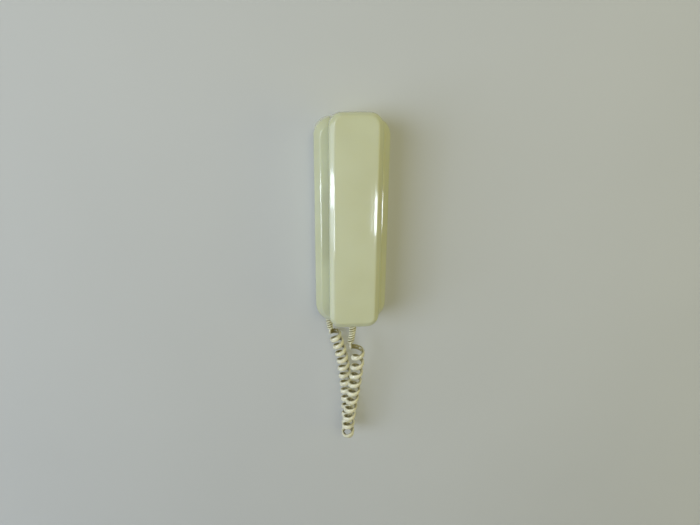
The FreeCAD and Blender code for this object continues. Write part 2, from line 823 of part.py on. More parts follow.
def make_base_cover():
    body = new_body("base_cover")
    outline = sketch(body, "XZ_Plane", up="base_middle", out="cover_lift")
    rounded(outline, "base_width", "base_height", "base_foot_corner", "base_top_corner")
    pad(body, outline, "cover_front - cover_lift")
    hollow = sketch(body, "XZ_Plane", up="base_middle", out="cover_lift")
    wide, high = "base_width - 2 * cover_wall", "base_height - 2 * cover_wall"
    rounded(hollow, wide, high, "cover_foot_inside", "cover_top_inside")
    pocket(body, hollow, "cover_front - cover_wall - cover_lift", forward=True)
    dress(body, "Chamfer", at_depth("cover_front - cover_wall"), "Size", "inner_bevel")
    dress(body, "Chamfer", at_depth("cover_front"), "Size", "base_bevel")
    dress(body, "Fillet", at_depth("cover_front"), "Radius", "edge_round")
    dress(body, "Fillet", at_depth("cover_front - base_bevel"), "Radius", "bevel_round")
    for level in ("ear_up", "-mouth_down"):
        cup = sketch(body, "XZ_Plane", up=level, out="cover_front - well_depth - cover_wall")
        obround(cup, "well_radius + cover_wall", "well_rise")
        pad(body, cup, "well_depth + cover_wall / 2")
        well = sketch(body, "XZ_Plane", up=level, out="cover_front")
        obround(well, "well_radius", "well_rise")
        pocket(body, well, "well_depth")
    slot = sketch(body, "XZ_Plane", out="cover_front")
    tall = "nub_height + hook_slot_above + hook_slot_below"
    middle = "nub_up + (hook_slot_above - hook_slot_below) / 2"
    rectangle(slot, "lever_width + 2 * hook_slot_side", tall, "hook_offset", middle)
    pocket(body, slot, "cover_wall")
    holes = sketch(body, "XZ_Plane", out="cover_front")
    spot = "-sounder_left", "sounder_up"
    ring_of_circles(holes, "sound_hole_radius", "sound_hole_ring", SOUND_HOLES, *spot)
    pocket(body, holes, "cover_wall")
    recesses = sketch(body, "XZ_Plane", out="cover_front")
    for side, level in rest_pad_spots():
        circle(recesses, "rest_pad_radius + seat_gap", side, level)
    pocket(body, recesses, "rest_pad_sunk")
    exit_spot = "-base_cord_left", "-base_cord_depth"
    collar = sketch(body, "XY_Plane", *exit_spot, "base_cord_foot")
    obround(collar, "collar_radius", "base_cord_depth - collar_radius - plate_thickness - plate_gap")
    pad(body, collar, "cover_wall + boot_flange + boot_slack")
    spot_face = sketch(body, "XY_Plane", *exit_spot, "base_foot")
    obround(spot_face, "boot_top_radius + boot_hole_gap", "base_cord_depth")
    pocket(body, spot_face, "collar_up", forward=True)
    notch = sketch(body, "XY_Plane", *exit_spot, "base_foot")
    obround(notch, "boot_hole_radius", "base_cord_depth")
    pocket(body, notch, "collar_up + cover_wall + cut_margin", forward=True)
    seat = sketch(body, "XY_Plane", *exit_spot, "base_cord_foot + cover_wall")
    obround(seat, "boot_flange_radius + boot_hole_gap", "base_cord_depth")
    pocket(body, seat, "boot_flange + boot_slack", forward=True)
    screw_hole = sketch(body, "XY_Plane", out="base_foot")
    circle(screw_hole, "cover_screw_radius + screw_gap", "lug_offset", "-cover_screw_depth")
    pocket(body, screw_hole, "cover_wall", forward=True)
    catches = sketch(body, "XZ_Plane", out="plate_thickness + tab_height - nib_height - snap_gap")
    for side in ("-tab_offset", "tab_offset"):
        reach = "nib_reach - plate_gap + snap_gap"
        edge = f"base_top - cover_wall + ({reach}) / 2"
        rectangle(catches, "tab_width + 2 * snap_gap", reach, side, edge)
    pocket(body, catches, "nib_height + 2 * snap_gap", forward=True)


def rest_pad_spots():
    """Four places beside the wells, above the ear cap and below the mouth cap."""
    levels = ("ear_up + rest_pad_beyond", "-mouth_down - rest_pad_beyond")
    return [(side, level) for side in ("-rest_pad_side", "rest_pad_side") for level in levels]


def make_rest_pads():
    made = []
    for side, level in rest_pad_spots():
        disc = doc.addObject("Part::Cylinder", "rest_pad")
        bind(disc, "Radius", "rest_pad_radius")
        bind(disc, "Height", "rest_pad_sunk + handset_gap - hook_gap")
        made.append(place(disc, side, "cover_front - rest_pad_sunk", level, OUTWARD))
    group("rest_pads", made)


def make_cover_screw():
    body = screw("cover_screw", "cover_screw_radius", "cover_screw_length")
    place(body, "lug_offset", "cover_screw_depth", "base_foot", DOWNWARD)
    node(body, "cover_screw")


# Circuit board and the parts that stand on it


def make_board():
    body = new_body("circuit_board")
    outline = sketch(body, "XZ_Plane", out="board_back")
    rectangle(outline, "board_width", "board_height", "0", "board_middle")
    pad(body, outline, "board_thickness")
    holes = sketch(body, "XZ_Plane", out="board_front")
    made = []
    for side in ("-board_boss_side", "board_boss_side"):
        for level in ("board_boss_low", "board_boss_high"):
            circle(holes, "board_screw_radius + screw_gap", side, level)
            fastener = screw("board_screw", "board_screw_radius", "board_screw_length")
            made.append(place(fastener, side, "board_front", level, OUTWARD))
    pocket(body, holes, "board_thickness")
    group("board_screws", made)


def make_terminals():
    body = new_body("terminal_block")
    outline = sketch(body, "XZ_Plane", out="board_front")
    rectangle(outline, f"{TERMINALS} * terminal_pitch", "terminal_height", "0", "terminal_middle")
    pad(body, outline, "terminal_depth")
    recesses = sketch(body, "XZ_Plane", out="terminal_face")
    bores = sketch(body, "XZ_Plane", out="terminal_face")
    mouths = sketch(body, "XY_Plane", out="board_foot")
    made = []
    for k in range(TERMINALS):
        side = f"{k - (TERMINALS - 1) / 2} * terminal_pitch"
        circle(recesses, "screw_head_ratio * terminal_screw_radius + screw_gap", side, "terminal_middle")
        circle(bores, "terminal_screw_radius + thread_gap", side, "terminal_middle")
        depth = "-(board_front + terminal_floor + terminal_mouth / 2)"
        rectangle(mouths, "terminal_mouth", "terminal_mouth", side, depth)
        length = "terminal_depth - terminal_recess - terminal_floor"
        fastener = screw("terminal_screw", "terminal_screw_radius", length)
        made.append(place(fastener, side, "terminal_face - terminal_recess", "terminal_middle", OUTWARD))
    pocket(body, recesses, "terminal_recess")
    pocket(body, bores, "terminal_depth - terminal_floor / 2")
    pocket(body, mouths, "terminal_height / 2 - terminal_screw_radius - terminal_floor", forward=True)
    group("terminal_screws", made)


def make_sounder():
    profile = [
        ("0", "0"),
        ("sounder_radius", "0"),
        ("sounder_radius", "sounder_depth - sounder_edge"),
        ("sounder_radius - sounder_edge", "sounder_depth"),
        ("sound_hole_radius", "sounder_depth"),
        ("sound_hole_radius", "sounder_depth - sounder_well"),
        ("0", "sounder_depth - sounder_well"),
    ]
    body = turned("call_sounder", profile)
    place(body, "-sounder_left", "board_front", "sounder_up", OUTWARD)
    node(body, "call_sounder")


def make_capacitors():
    profile = [
        ("0", "0"),
        ("capacitor_radius - capacitor_edge", "0"),
        ("capacitor_radius", "capacitor_edge"),
        ("capacitor_radius", "capacitor_crimp_up - capacitor_crimp"),
        ("capacitor_radius - capacitor_crimp", "capacitor_crimp_up"),
        ("capacitor_radius", "capacitor_crimp_up + capacitor_crimp"),
        ("capacitor_radius", "capacitor_depth - capacitor_edge"),
        ("capacitor_radius - capacitor_edge", "capacitor_depth"),
        ("0", "capacitor_depth"),
    ]
    made = [
        place(turned("capacitor", profile), side, "board_front", level, OUTWARD)
        for side, level in CAPACITOR_SPOTS
    ]
    group("capacitors", made)


def make_chip():
    body = new_body("amplifier_chip")
    outline = sketch(body, "XZ_Plane", "chip_right", "chip_middle", "board_front")
    rectangle(outline, "chip_width", "chip_height")
    pad(body, outline, "chip_depth")
    mark = sketch(body, "XZ_Plane", "chip_right", "chip_middle", "board_front + chip_depth")
    circle(mark, "chip_mark_radius", "chip_mark_inset - chip_width / 2")
    pocket(body, mark, "chip_mark_sunk")


def make_connector():
    body = new_body("cord_connector")
    outline = sketch(body, "XZ_Plane", "-connector_left", "connector_middle", "board_front")
    rectangle(outline, "connector_width", "connector_height")
    pad(body, outline, "connector_depth")
    dress(body, "Chamfer", at_depth("board_front + connector_depth"), "Size", "connector_edge")
    points = [V(*point) for point in INNER_LEAD_ROUTE]
    shaped("inner_lead", plain_tube("inner_lead", points, "inner_lead_wire"))


# Hook: a lever on a pin in a sheet bracket, a spring that pushes it out, and the switch under it


def make_hook():
    bracket = new_body("hook_bracket")
    floor = sketch(bracket, "XZ_Plane", "hook_offset", "pivot_up", "board_front")
    rectangle(floor, "2 * bracket_half", "bracket_height")
    pad(bracket, floor, "bracket_sheet")
    ears = sketch(bracket, "XZ_Plane", "hook_offset", "pivot_up", "board_front")
    for side in ("-(bracket_half - bracket_sheet / 2)", "bracket_half - bracket_sheet / 2"):
        rectangle(ears, "bracket_sheet", "bracket_height", side)
    pad(bracket, ears, "pivot_depth + bracket_over - board_front")
    eye = sketch(bracket, "YZ_Plane", "-pivot_depth", "pivot_up", "hook_offset + bracket_half")
    circle(eye, "pivot_pin_radius + pin_seat_gap")
    pocket(bracket, eye, "2 * bracket_half")

    pin = doc.addObject("Part::Cylinder", "hook_pivot_pin")
    bind(pin, "Radius", "pivot_pin_radius")
    bind(pin, "Height", "2 * (bracket_half + pivot_pin_overhang)")
    start = "hook_offset - bracket_half - pivot_pin_overhang"
    place(pin, start, "pivot_depth", "pivot_up", FreeCAD.Rotation(V(0, 1, 0), 90))
    node(pin, "hook_pivot_pin")

    lever = new_body("hook_lever")
    side = "hook_offset - lever_width / 2"
    arm = sketch(lever, "YZ_Plane", "-pivot_depth", "pivot_up", side)
    tall = "hook_reach + nub_height / 2"
    rectangle(arm, "lever_thickness", tall, "0", f"({tall}) / 2")
    pad(lever, arm, "lever_width")
    hub = sketch(lever, "YZ_Plane", "-pivot_depth", "pivot_up", side)
    circle(hub, "hub_radius")
    pad(lever, hub, "lever_width")
    nub = sketch(lever, "XZ_Plane", "hook_offset", "nub_up", "pivot_depth")
    rectangle(nub, "lever_width", "nub_height")
    pad(lever, nub, "nub_tip - pivot_depth")
    dress(lever, "Fillet", at_depth("nub_tip"), "Radius", "nub_round")
    spigot = sketch(lever, "XZ_Plane", "hook_offset", "spring_up", "lever_inner - lever_spigot_height")
    circle(spigot, "spigot_radius")
    pad(lever, spigot, "lever_spigot_height + lever_thickness / 2")
    bore = sketch(lever, "YZ_Plane", "-pivot_depth", "pivot_up", f"{side} + lever_width")
    circle(bore, "pivot_pin_radius + running_gap")
    pocket(lever, bore, "lever_width")


def make_spring():
    """A compression spring from the plate's face to the lever's arm, with its seat gap at both ends."""
    wire, gap = size("spring_wire"), size("spring_seat_gap")
    start = size("plate_thickness") + gap + wire / 2
    end = size("lever_inner") - gap - wire / 2
    middle = V(size("hook_offset"), 0, size("spring_up"))
    axis = Part.LineSegment(middle - V(0, start, 0), middle - V(0, end, 0))
    coil, turns = size("spring_coil_radius"), int(size("spring_turns"))
    run_in = size("spring_run_in") / axis.length()
    shaped("hook_spring", wound_tube("hook_spring", axis, coil, wire, turns, run_in, (1.0, 1.0)))


def make_switch():
    body = new_body("hook_switch")
    outline = sketch(body, "XZ_Plane", "hook_offset", "switch_up", "board_front")
    rectangle(outline, "switch_side", "switch_side")
    pad(body, outline, "switch_depth")
    hollow = sketch(body, "XZ_Plane", "hook_offset", "switch_up", "board_front + switch_depth")
    rectangle(hollow, "plunger_side + 2 * plunger_gap", "plunger_side + 2 * plunger_gap")
    pocket(body, hollow, "switch_depth - switch_floor")
    plunger = new_body("switch_plunger")
    low = "board_front + switch_floor + plunger_gap"
    stem = sketch(plunger, "XZ_Plane", "hook_offset", "switch_up", low)
    rectangle(stem, "plunger_side", "plunger_side")
    pad(plunger, stem, f"lever_inner - hook_gap - ({low})")
    dress(plunger, "Fillet", at_depth("lever_inner - hook_gap"), "Radius", "plunger_round")


# Cord boots: a flange behind the wall, a neck in the wall's hole and a tapered ribbed sleeve


def make_boot(name, wall, length, right, depth, foot):
    """Drawn downwards from the outer face of the wall that it goes through, at Z zero."""
    profile = [
        ("0", f"{wall} + boot_slack + boot_flange"),
        ("boot_flange_radius", f"{wall} + boot_slack + boot_flange"),
        ("boot_flange_radius", f"{wall} + boot_slack"),
        ("boot_neck_radius", f"{wall} + boot_slack"),
        ("boot_neck_radius", "-boot_hole_gap"),
    ]
    pitch = f"({length} - boot_hole_gap) / {2 * BOOT_RIBS}"
    for k in range(2 * BOOT_RIBS):
        shrink = "boot_groove" if k % 2 else "0"
        for step in (k, k + 1):
            taper = f"(boot_tip_radius - boot_top_radius) * {step / (2 * BOOT_RIBS)}"
            profile.append((f"boot_top_radius + {taper} - {shrink}", f"-boot_hole_gap - {step} * ({pitch})"))
    profile.append(("0", f"-({length})"))
    body = turned(name, profile)
    place(body, right, depth, foot)
    node(body, name)


def make_base_boot():
    where = "-base_cord_left", "base_cord_depth", "base_cord_foot"
    make_boot("base_cord_boot", "cover_wall", "base_boot_length", *where)


def make_handset_boot():
    where = "-handset_cord_left", "handset_split", "handset_foot"
    make_boot("handset_cord_boot", "shell_wall", "handset_boot_length", *where)


# Handset: two shells, split at one depth


def handset_outline(body, out, inset):
    drawn = sketch(body, "XZ_Plane", up="handset_middle", out=out)
    wide, tall = f"handset_width - 2 * ({inset})", f"handset_length - 2 * ({inset})"
    rounded(drawn, wide, tall, f"handset_foot_corner - ({inset})", f"handset_top_corner - ({inset})")
    return drawn


def front_outline(body, out, inset):
    drawn = sketch(body, "XZ_Plane", up="front_middle", out=out)
    wide, tall = f"front_width - 2 * ({inset})", f"front_height - 2 * ({inset})"
    rounded(drawn, wide, tall, f"front_foot_corner - ({inset})", f"front_top_corner - ({inset})")
    return drawn


def cord_hole(body):
    """Half of the round hole in the handset's foot, whose middle is on the split."""
    hole = sketch(body, "XY_Plane", "-handset_cord_left", "-handset_split", "handset_foot")
    circle(hole, "boot_hole_radius")
    pocket(body, hole, "shell_wall + cut_margin", forward=True)


def make_front_shell():
    body = new_body("handset_front_shell")
    pad(body, handset_outline(body, "handset_split", "0"), "handset_shoulder - handset_split")
    shoulder = handset_outline(body, "handset_shoulder", "0")
    loft(body, "Additive", shoulder, front_outline(body, "handset_front", "0"))
    dress(body, "Fillet", at_depth("handset_front"), "Radius", "front_round")
    dress(body, "Fillet", at_depth("handset_shoulder"), "Radius", "shoulder_round")
    hollow = handset_outline(body, "handset_split", "shell_wall")
    pocket(body, hollow, "shoulder_inner - handset_split", forward=True)
    inner = handset_outline(body, "shoulder_inner", "shell_wall")
    loft(body, "Subtractive", inner, front_outline(body, "handset_front - shell_wall", "shell_wall"))
    posts = sketch(body, "XZ_Plane", out="case_seat")
    pilots = sketch(body, "XZ_Plane", out="case_seat")
    for level in ("case_screw_level", "-case_screw_level"):
        circle(posts, "case_boss_radius", "0", level)
        circle(pilots, "case_screw_radius + thread_gap", "0", level)
    pad(body, posts, "handset_front - shell_wall / 2 - case_seat")
    pocket(body, pilots, "case_screw_length", forward=True)
    cord_hole(body)


def room_outline(body, out, half, start, end, foot_corner, top_corner):
    drawn = sketch(body, "XZ_Plane", up=f"(({start}) + ({end})) / 2", out=out)
    rounded(drawn, f"2 * ({half})", f"({end}) - ({start})", foot_corner, top_corner)
    return drawn


def end_rooms(body):
    """The hollows of the two thick ends, which narrow with the shell from the split to its back."""
    top, foot = "handset_top - shell_wall", "handset_foot + shell_wall"
    top_corner, foot_corner = "handset_top_corner - shell_wall", "handset_foot_corner - shell_wall"
    rims = [
        ("end_start", top, "shell_wall", top_corner),
        (foot, "-end_start", foot_corner, "shell_wall"),
    ]
    floors = [
        ("end_start", f"{top} - handset_draft", "shell_wall", f"{top_corner} - handset_draft"),
        (f"{foot} + handset_draft", "-end_start", f"{foot_corner} - handset_draft", "shell_wall"),
    ]
    for rim, floor in zip(rims, floors):
        upper = room_outline(body, "handset_split", "inner_half", *rim)
        lower = room_outline(body, "handset_back + shell_wall", "inner_half - handset_draft", *floor)
        loft(body, "Subtractive", upper, lower)


def make_back_shell():
    body = new_body("handset_back_shell")
    rear = handset_outline(body, "handset_back", "handset_draft")
    loft(body, "Additive", rear, handset_outline(body, "handset_split", "0"))
    dress(body, "Fillet", at_depth("handset_back"), "Radius", "back_round")
    gap = sketch(body, "YZ_Plane", out="handset_width / 2")
    rise = "grip_half + grip_slope * (grip_rise + cut_margin) / grip_rise"
    back = "cut_margin - handset_back"
    floor = [("-grip_depth", "grip_half"), ("-grip_depth", "-grip_half")]
    polygon(gap, [(back, f"-({rise})"), (back, rise), *floor])
    pocket(body, gap, "handset_width")
    rounding = at_depth("grip_depth")
    dress(body, "Fillet", lambda edge: rounding(edge) and edge.BoundBox.ZLength > 1, "Radius", "grip_round")
    hollow = handset_outline(body, "handset_split", "shell_wall")
    pocket(body, hollow, "handset_split - grip_depth - shell_wall")
    end_rooms(body)
    bosses = sketch(body, "XZ_Plane", out="handset_back + shell_wall / 2")
    counterbores = sketch(body, "XZ_Plane", out="handset_back")
    holes = sketch(body, "XZ_Plane", out="handset_back")
    head = "screw_head_ratio * case_screw_radius + case_counterbore_gap"
    for level in ("case_screw_level", "-case_screw_level"):
        circle(bosses, f"{head} + shell_wall / 2", "0", level)
        circle(counterbores, head, "0", level)
        circle(holes, "case_screw_radius + screw_gap", "0", level)
    pad(body, bosses, "case_boss_seat - shell_wall / 2")
    caps = sketch(body, "XZ_Plane", out="cap_face")
    rooms = sketch(body, "XZ_Plane", out="handset_split")
    for level in ("ear_up", "-mouth_down"):
        circle(caps, "cap_radius", "0", level)
        circle(rooms, "cap_bore", "0", level)
    pad(body, caps, "cap_reach + shell_wall / 2")
    dress(body, "Fillet", at_depth("cap_face"), "Radius", "cap_round")
    pocket(body, rooms, "handset_split - cap_floor")
    pocket(body, counterbores, "case_counterbore", forward=True)
    pocket(body, holes, "case_boss_seat", forward=True)
    ear_holes = sketch(body, "XZ_Plane", out="cap_face")
    ring_of_circles(ear_holes, "ear_hole_radius", "ear_hole_ring", EAR_HOLES, "0", "ear_up")
    pocket(body, ear_holes, "shell_wall", forward=True)
    mouth_holes = sketch(body, "XZ_Plane", out="cap_face")
    ring_of_circles(mouth_holes, "mouth_hole_radius", "mouth_hole_ring", MOUTH_HOLES, "0", "-mouth_down")
    pocket(body, mouth_holes, "shell_wall", forward=True)
    cord_hole(body)


def make_case_screws():
    made = []
    for level in ("case_screw_level", "-case_screw_level"):
        fastener = screw("handset_screw", "case_screw_radius", "case_screw_length")
        made.append(place(fastener, "0", "case_head_floor", level, INWARD))
    group("handset_screws", made)


# What the handset holds


def make_receiver():
    gasket = [
        ("receiver_radius - gasket_width", "0"),
        ("receiver_radius", "0"),
        ("receiver_radius", "gasket_thickness"),
        ("receiver_radius - gasket_width", "gasket_thickness"),
    ]
    ring = turned("receiver_gasket", gasket)
    place(ring, "0", "cap_floor", "ear_up", OUTWARD)
    node(ring, "receiver_gasket")
    capsule = [
        ("0", "receiver_dish"),
        ("receiver_radius - gasket_width", "0"),
        ("receiver_radius", "0"),
        ("receiver_radius", "receiver_rim"),
        ("receiver_radius - receiver_taper", "receiver_depth"),
        ("receiver_magnet_radius", "receiver_depth"),
        ("receiver_magnet_radius", "receiver_depth + receiver_magnet_depth"),
        ("0", "receiver_depth + receiver_magnet_depth"),
    ]
    body = turned("receiver_capsule", capsule)
    place(body, "0", "cap_floor + gasket_thickness", "ear_up", OUTWARD)
    node(body, "receiver_capsule")


def make_microphone():
    bore, port = "microphone_radius + seat_gap", "mouth_hole_ring + mouth_hole_radius"
    outer = f"{bore} + microphone_boot_wall"
    back = "microphone_boot_floor + microphone_depth"
    boot = [
        (port, "0"),
        (outer, "0"),
        (outer, f"{back} + microphone_boot_lip"),
        ("microphone_port_radius", f"{back} + microphone_boot_lip"),
        ("microphone_port_radius", back),
        (bore, back),
        (bore, "microphone_boot_floor"),
        (port, "microphone_boot_floor"),
    ]
    sleeve = turned("microphone_boot", boot)
    place(sleeve, "0", "cap_floor", "-mouth_down", OUTWARD)
    node(sleeve, "microphone_boot")
    capsule = [
        ("0", "microphone_port_sunk"),
        ("microphone_port_radius", "microphone_port_sunk"),
        ("microphone_port_radius", "0"),
        ("microphone_radius", "0"),
        ("microphone_radius", "microphone_depth"),
        ("0", "microphone_depth"),
    ]
    body = turned("microphone_capsule", capsule)
    place(body, "0", "cap_floor + microphone_boot_floor", "-mouth_down", OUTWARD)
    node(body, "microphone_capsule")


def make_ballast():
    body = new_body("ballast_weight")
    outline = sketch(body, "XZ_Plane", out="grip_floor")
    rectangle(outline, "ballast_width", "ballast_length")
    pad(body, outline, "ballast_thickness")
    top = at_depth("grip_floor + ballast_thickness")
    dress(body, "Chamfer", top, "Size", "ballast_edge")


def make_handset_wires():
    made = []
    for name, route in (("microphone_wire", MICROPHONE_WIRE_ROUTE), ("receiver_wire", RECEIVER_WIRE_ROUTE)):
        points = [V(x, -size(depth), z) for x, depth, z in route]
        tube = doc.addObject("Part::Feature", name)
        tube.Shape = plain_tube(name, points, "handset_wire")
        made.append(tube)
    group("handset_wires", made)


# Cord: two short straight leads and the curls between them


def make_lead(name, right, depth, boot_tip, end):
    lead = doc.addObject("Part::Cylinder", name)
    bind(lead, "Radius", "cord_wire / 2")
    bind(lead, "Height", f"{-end} - ({boot_tip})")
    place(lead, right, depth, str(end))
    node(lead, name)


def make_cord():
    wire, coil = size("cord_wire"), size("curl_radius")
    axis = Part.BSplineCurve()
    knots = len(CURL_AXIS) - 1
    axis.buildFromPolesMultsKnots(
        [V(*point) for point in CURL_AXIS], [3] + [1] * (knots - 2) + [3], list(range(knots)), False, 2
    )
    pitches = size("curl_pitch_base"), size("curl_pitch_handset")
    run_in = size("curl_run_in") / axis.length()
    solid = wound_tube("cord_curls", axis, coil, wire, int(size("curl_count")), run_in, pitches)
    shaped("cord_curls", solid)
    base_end, handset_end = CURL_AXIS[0][2] + wire / 2, CURL_AXIS[-1][2] + wire / 2
    make_lead("base_lead", "-base_cord_left", "base_cord_depth", "base_boot_tip", base_end)
    make_lead("handset_lead", "-handset_cord_left", "handset_split", "handset_boot_tip", handset_end)


def check_document():
    """Stop before anything is written if a feature failed or a sub-part has no sound shape."""
    doc.recompute()
    for made in doc.Objects:
        if {"Invalid", "Error"} & set(made.State):
            raise ValueError(f"{made.Label} failed: {made.State}")
    for name, made in nodes.items():
        if made.Shape.isNull() or not made.Shape.isValid():
            raise ValueError(f"{name} has no valid shape")


def write_parts():
    os.makedirs("parts", exist_ok=True)
    for name, made in nodes.items():
        made.Shape.exportStep(f"parts/{name}.step")
    print(f"{len(nodes)} sub-parts")


make_wall_plate()
make_base_cover()
make_rest_pads()
make_cover_screw()
make_board()
make_terminals()
make_sounder()
make_capacitors()
make_chip()
make_connector()
make_hook()
make_spring()
make_switch()
make_base_boot()
make_front_shell()
make_back_shell()
make_case_screws()
make_receiver()
make_microphone()
make_ballast()
make_handset_boot()
make_handset_wires()
make_cord()
check_document()
write_parts()
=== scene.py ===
# %% [markdown]
# # A wall intercom phone with a curly cord
# The object is a slim ivory phone on a wall: a bevelled base, a handset that hangs on it, and a short
# curly cord between the two. The solids come from a CAD model, which is loaded here as a fixed frame.
# This lesson makes what a CAD model shows poorly: soft edges, the cord, and the finish of every surface.

# %% Load the frame
import math

import bmesh
import bpy
import numpy as np
from mathutils import Matrix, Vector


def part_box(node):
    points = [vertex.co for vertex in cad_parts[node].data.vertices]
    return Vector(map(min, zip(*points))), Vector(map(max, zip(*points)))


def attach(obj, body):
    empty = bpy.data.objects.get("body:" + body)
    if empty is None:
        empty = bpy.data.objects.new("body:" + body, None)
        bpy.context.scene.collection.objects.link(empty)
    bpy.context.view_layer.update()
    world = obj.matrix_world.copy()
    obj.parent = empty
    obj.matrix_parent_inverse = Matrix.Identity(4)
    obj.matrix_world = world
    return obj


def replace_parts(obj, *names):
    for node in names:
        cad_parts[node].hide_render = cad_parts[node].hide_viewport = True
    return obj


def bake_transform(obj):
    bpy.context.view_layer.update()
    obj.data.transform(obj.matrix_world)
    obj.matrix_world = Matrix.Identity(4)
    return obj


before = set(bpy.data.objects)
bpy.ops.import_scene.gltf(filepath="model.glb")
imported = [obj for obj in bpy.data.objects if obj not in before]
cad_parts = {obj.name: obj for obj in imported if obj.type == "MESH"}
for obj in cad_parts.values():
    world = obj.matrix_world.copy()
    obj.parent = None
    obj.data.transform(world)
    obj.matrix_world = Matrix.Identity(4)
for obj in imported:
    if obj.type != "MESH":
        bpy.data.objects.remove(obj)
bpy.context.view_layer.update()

# %% [markdown]
# ## Camera
# The phone was seen from a little above and a little to its left, from about half a metre. A camera can
# be aimed with a constraint, but three turns written as numbers say exactly where it looks, so its axes
# are worked out here and go into one matrix. The focal length follows from pixels and the sensor's width.

# %% Camera
CAMERA_PLACE = np.array([-0.0506, -0.5300, 0.1482])
LOOK_DOWN, LOOK_RIGHT, CAMERA_ROLL = np.radians([20.34, 5.51, 0.48])
FOCAL_PIXELS = 526.0
IMAGE_WIDTH = 700.0


def camera_axes():
    """The camera's right, up and back directions: look right, then down, then roll about the view."""
    level = np.array([math.sin(LOOK_RIGHT), math.cos(LOOK_RIGHT), 0.0])
    ahead = level * math.cos(LOOK_DOWN) - np.array([0.0, 0.0, math.sin(LOOK_DOWN)])
    right = np.array([math.cos(LOOK_RIGHT), -math.sin(LOOK_RIGHT), 0.0])
    up = np.cross(right, ahead)
    cosine, sine = math.cos(CAMERA_ROLL), math.sin(CAMERA_ROLL)
    return cosine * right + sine * up, cosine * up - sine * right, -ahead


def placed(axes, place):
    """A matrix that turns an object to three axes, as its columns, and puts it at a place."""
    return Matrix(np.vstack([np.column_stack([*axes, place]), [0, 0, 0, 1]]).tolist())


camera = bpy.data.objects.new("camera", bpy.data.cameras.new("camera"))
camera.data.lens = camera.data.sensor_width * FOCAL_PIXELS / IMAGE_WIDTH
camera.matrix_world = placed(camera_axes(), CAMERA_PLACE)
bpy.context.scene.collection.objects.link(camera)
bpy.context.scene.camera = camera
print(f"camera: {camera.data.lens:.2f} mm lens at {np.round(CAMERA_PLACE, 4).tolist()}")

# %% [markdown]
# ## From numbers to a mesh
# Every new piece below is a surface of two parameters: rows of points, each row a ring or a line. One
# helper turns such a grid into quads with a UV map. It works on whole arrays, which is faster than adding
# faces one by one and keeps the shape's formula apart from the bookkeeping.

# %% Grid to mesh


def grid_faces(rows, columns):
    """Quads between neighbouring rows, with each row closed on itself, and their places in the UV square."""
    row, column = np.meshgrid(np.arange(rows - 1), np.arange(columns), indexing="ij")
    corners = [(row, column), (row, column + 1), (row + 1, column + 1), (row + 1, column)]
    quads = np.stack([down * columns + across % columns for down, across in corners], axis=-1)
    places = [np.stack([across / columns, down / (rows - 1)], axis=-1) for down, across in corners]
    return quads.reshape(-1, 4), np.stack(places, axis=2).reshape(-1, 2)


def skin(name, grid, ends=True, sharp=None):
    """A mesh object from rows of ring points.

    With ends, the first and last ring are closed by a face each. An edge past sharp degrees stays sharp.
    """
    rows, columns = grid.shape[:2]
    quads, places = grid_faces(rows, columns)
    faces = quads.tolist()
    if ends:
        ring = np.arange(columns)
        faces += [ring[::-1].tolist(), (ring + (rows - 1) * columns).tolist()]
        places = np.concatenate([places, np.zeros((2 * columns, 2))])
    mesh = bpy.data.meshes.new(name)
    mesh.from_pydata(grid.reshape(-1, 3).tolist(), [], faces)
    mesh.uv_layers.new(name="UVMap").data.foreach_set("uv", places.ravel())
    mesh.polygons.foreach_set("use_smooth", np.ones(len(faces), bool))
    if sharp:
        mesh.set_sharp_from_angle(angle=math.radians(sharp))
    made = bpy.data.objects.new(name, mesh)
    bpy.context.scene.collection.objects.link(made)
    print(f"{name}: {len(mesh.vertices)} points, {len(mesh.polygons)} faces")
    return made


print("3 rings of 8 points make", len(grid_faces(3, 8)[0]), "quads")

# %% [markdown]
# ## The cord's line
# The cord hangs from the base, turns round in a narrow loop and climbs to the handset. Its curls wind
# round a middle line. A curve with handles would need two of them at every point, so the line is a NURBS
# spline of order 3, which runs smoothly between a few listed points. A curve with no bevel, made
# a mesh, gives the points along it.

# %% The cord's line
CURL_AXIS = np.array([
    (-0.0178, -0.0110, -0.1246),
    (-0.0176, -0.0110, -0.1286),
    (-0.0128, -0.0108, -0.1410),
    (-0.0076, -0.0104, -0.1620),
    (-0.0048, -0.0099, -0.1880),
    (-0.0024, -0.0095, -0.2160),
    (-0.0018, -0.0096, -0.2350),
    (-0.0018, -0.0094, -0.2450),
    (-0.0022, -0.0162, -0.2520),
    (-0.0030, -0.0258, -0.2520),
    (-0.0034, -0.0326, -0.2450),
    (-0.0032, -0.0328, -0.2350),
    (-0.0020, -0.0340, -0.2180),
    (0.0018, -0.0370, -0.1900),
    (0.0042, -0.0415, -0.1620),
    (0.0055, -0.0450, -0.1400),
    (0.0055, -0.0450, -0.1260),
])


def spline_points(route, steps=32):
    """Points along a NURBS spline of order 3 that has the route's points as its control points."""
    curve = bpy.data.curves.new("route", "CURVE")
    curve.dimensions = "3D"
    curve.resolution_u = steps
    spline = curve.splines.new("NURBS")
    spline.points.add(len(route) - 1)
    spline.points.foreach_set("co", np.column_stack([route, np.ones(len(route))]).ravel())
    spline.order_u = 3
    spline.use_endpoint_u = True
    holder = bpy.data.objects.new("route", curve)
    mesh = bpy.data.meshes.new_from_object(holder)
    found = np.empty(3 * len(mesh.vertices))
    mesh.vertices.foreach_get("co", found)
    bpy.data.meshes.remove(mesh)
    bpy.data.objects.remove(holder)
    bpy.data.curves.remove(curve)
    return found.reshape(-1, 3)


def along(points):
    """The distance along a line of points, from zero at its first."""
    return np.concatenate([[0.0], np.cumsum(np.linalg.norm(np.diff(points, axis=0), axis=1))])


def evenly(points, count):
    """As many points as asked for, at equal distances along a line of points."""
    span = along(points)
    wanted = np.linspace(0, span[-1], count)
    return np.column_stack([np.interp(wanted, span, points[:, axis]) for axis in range(3)])


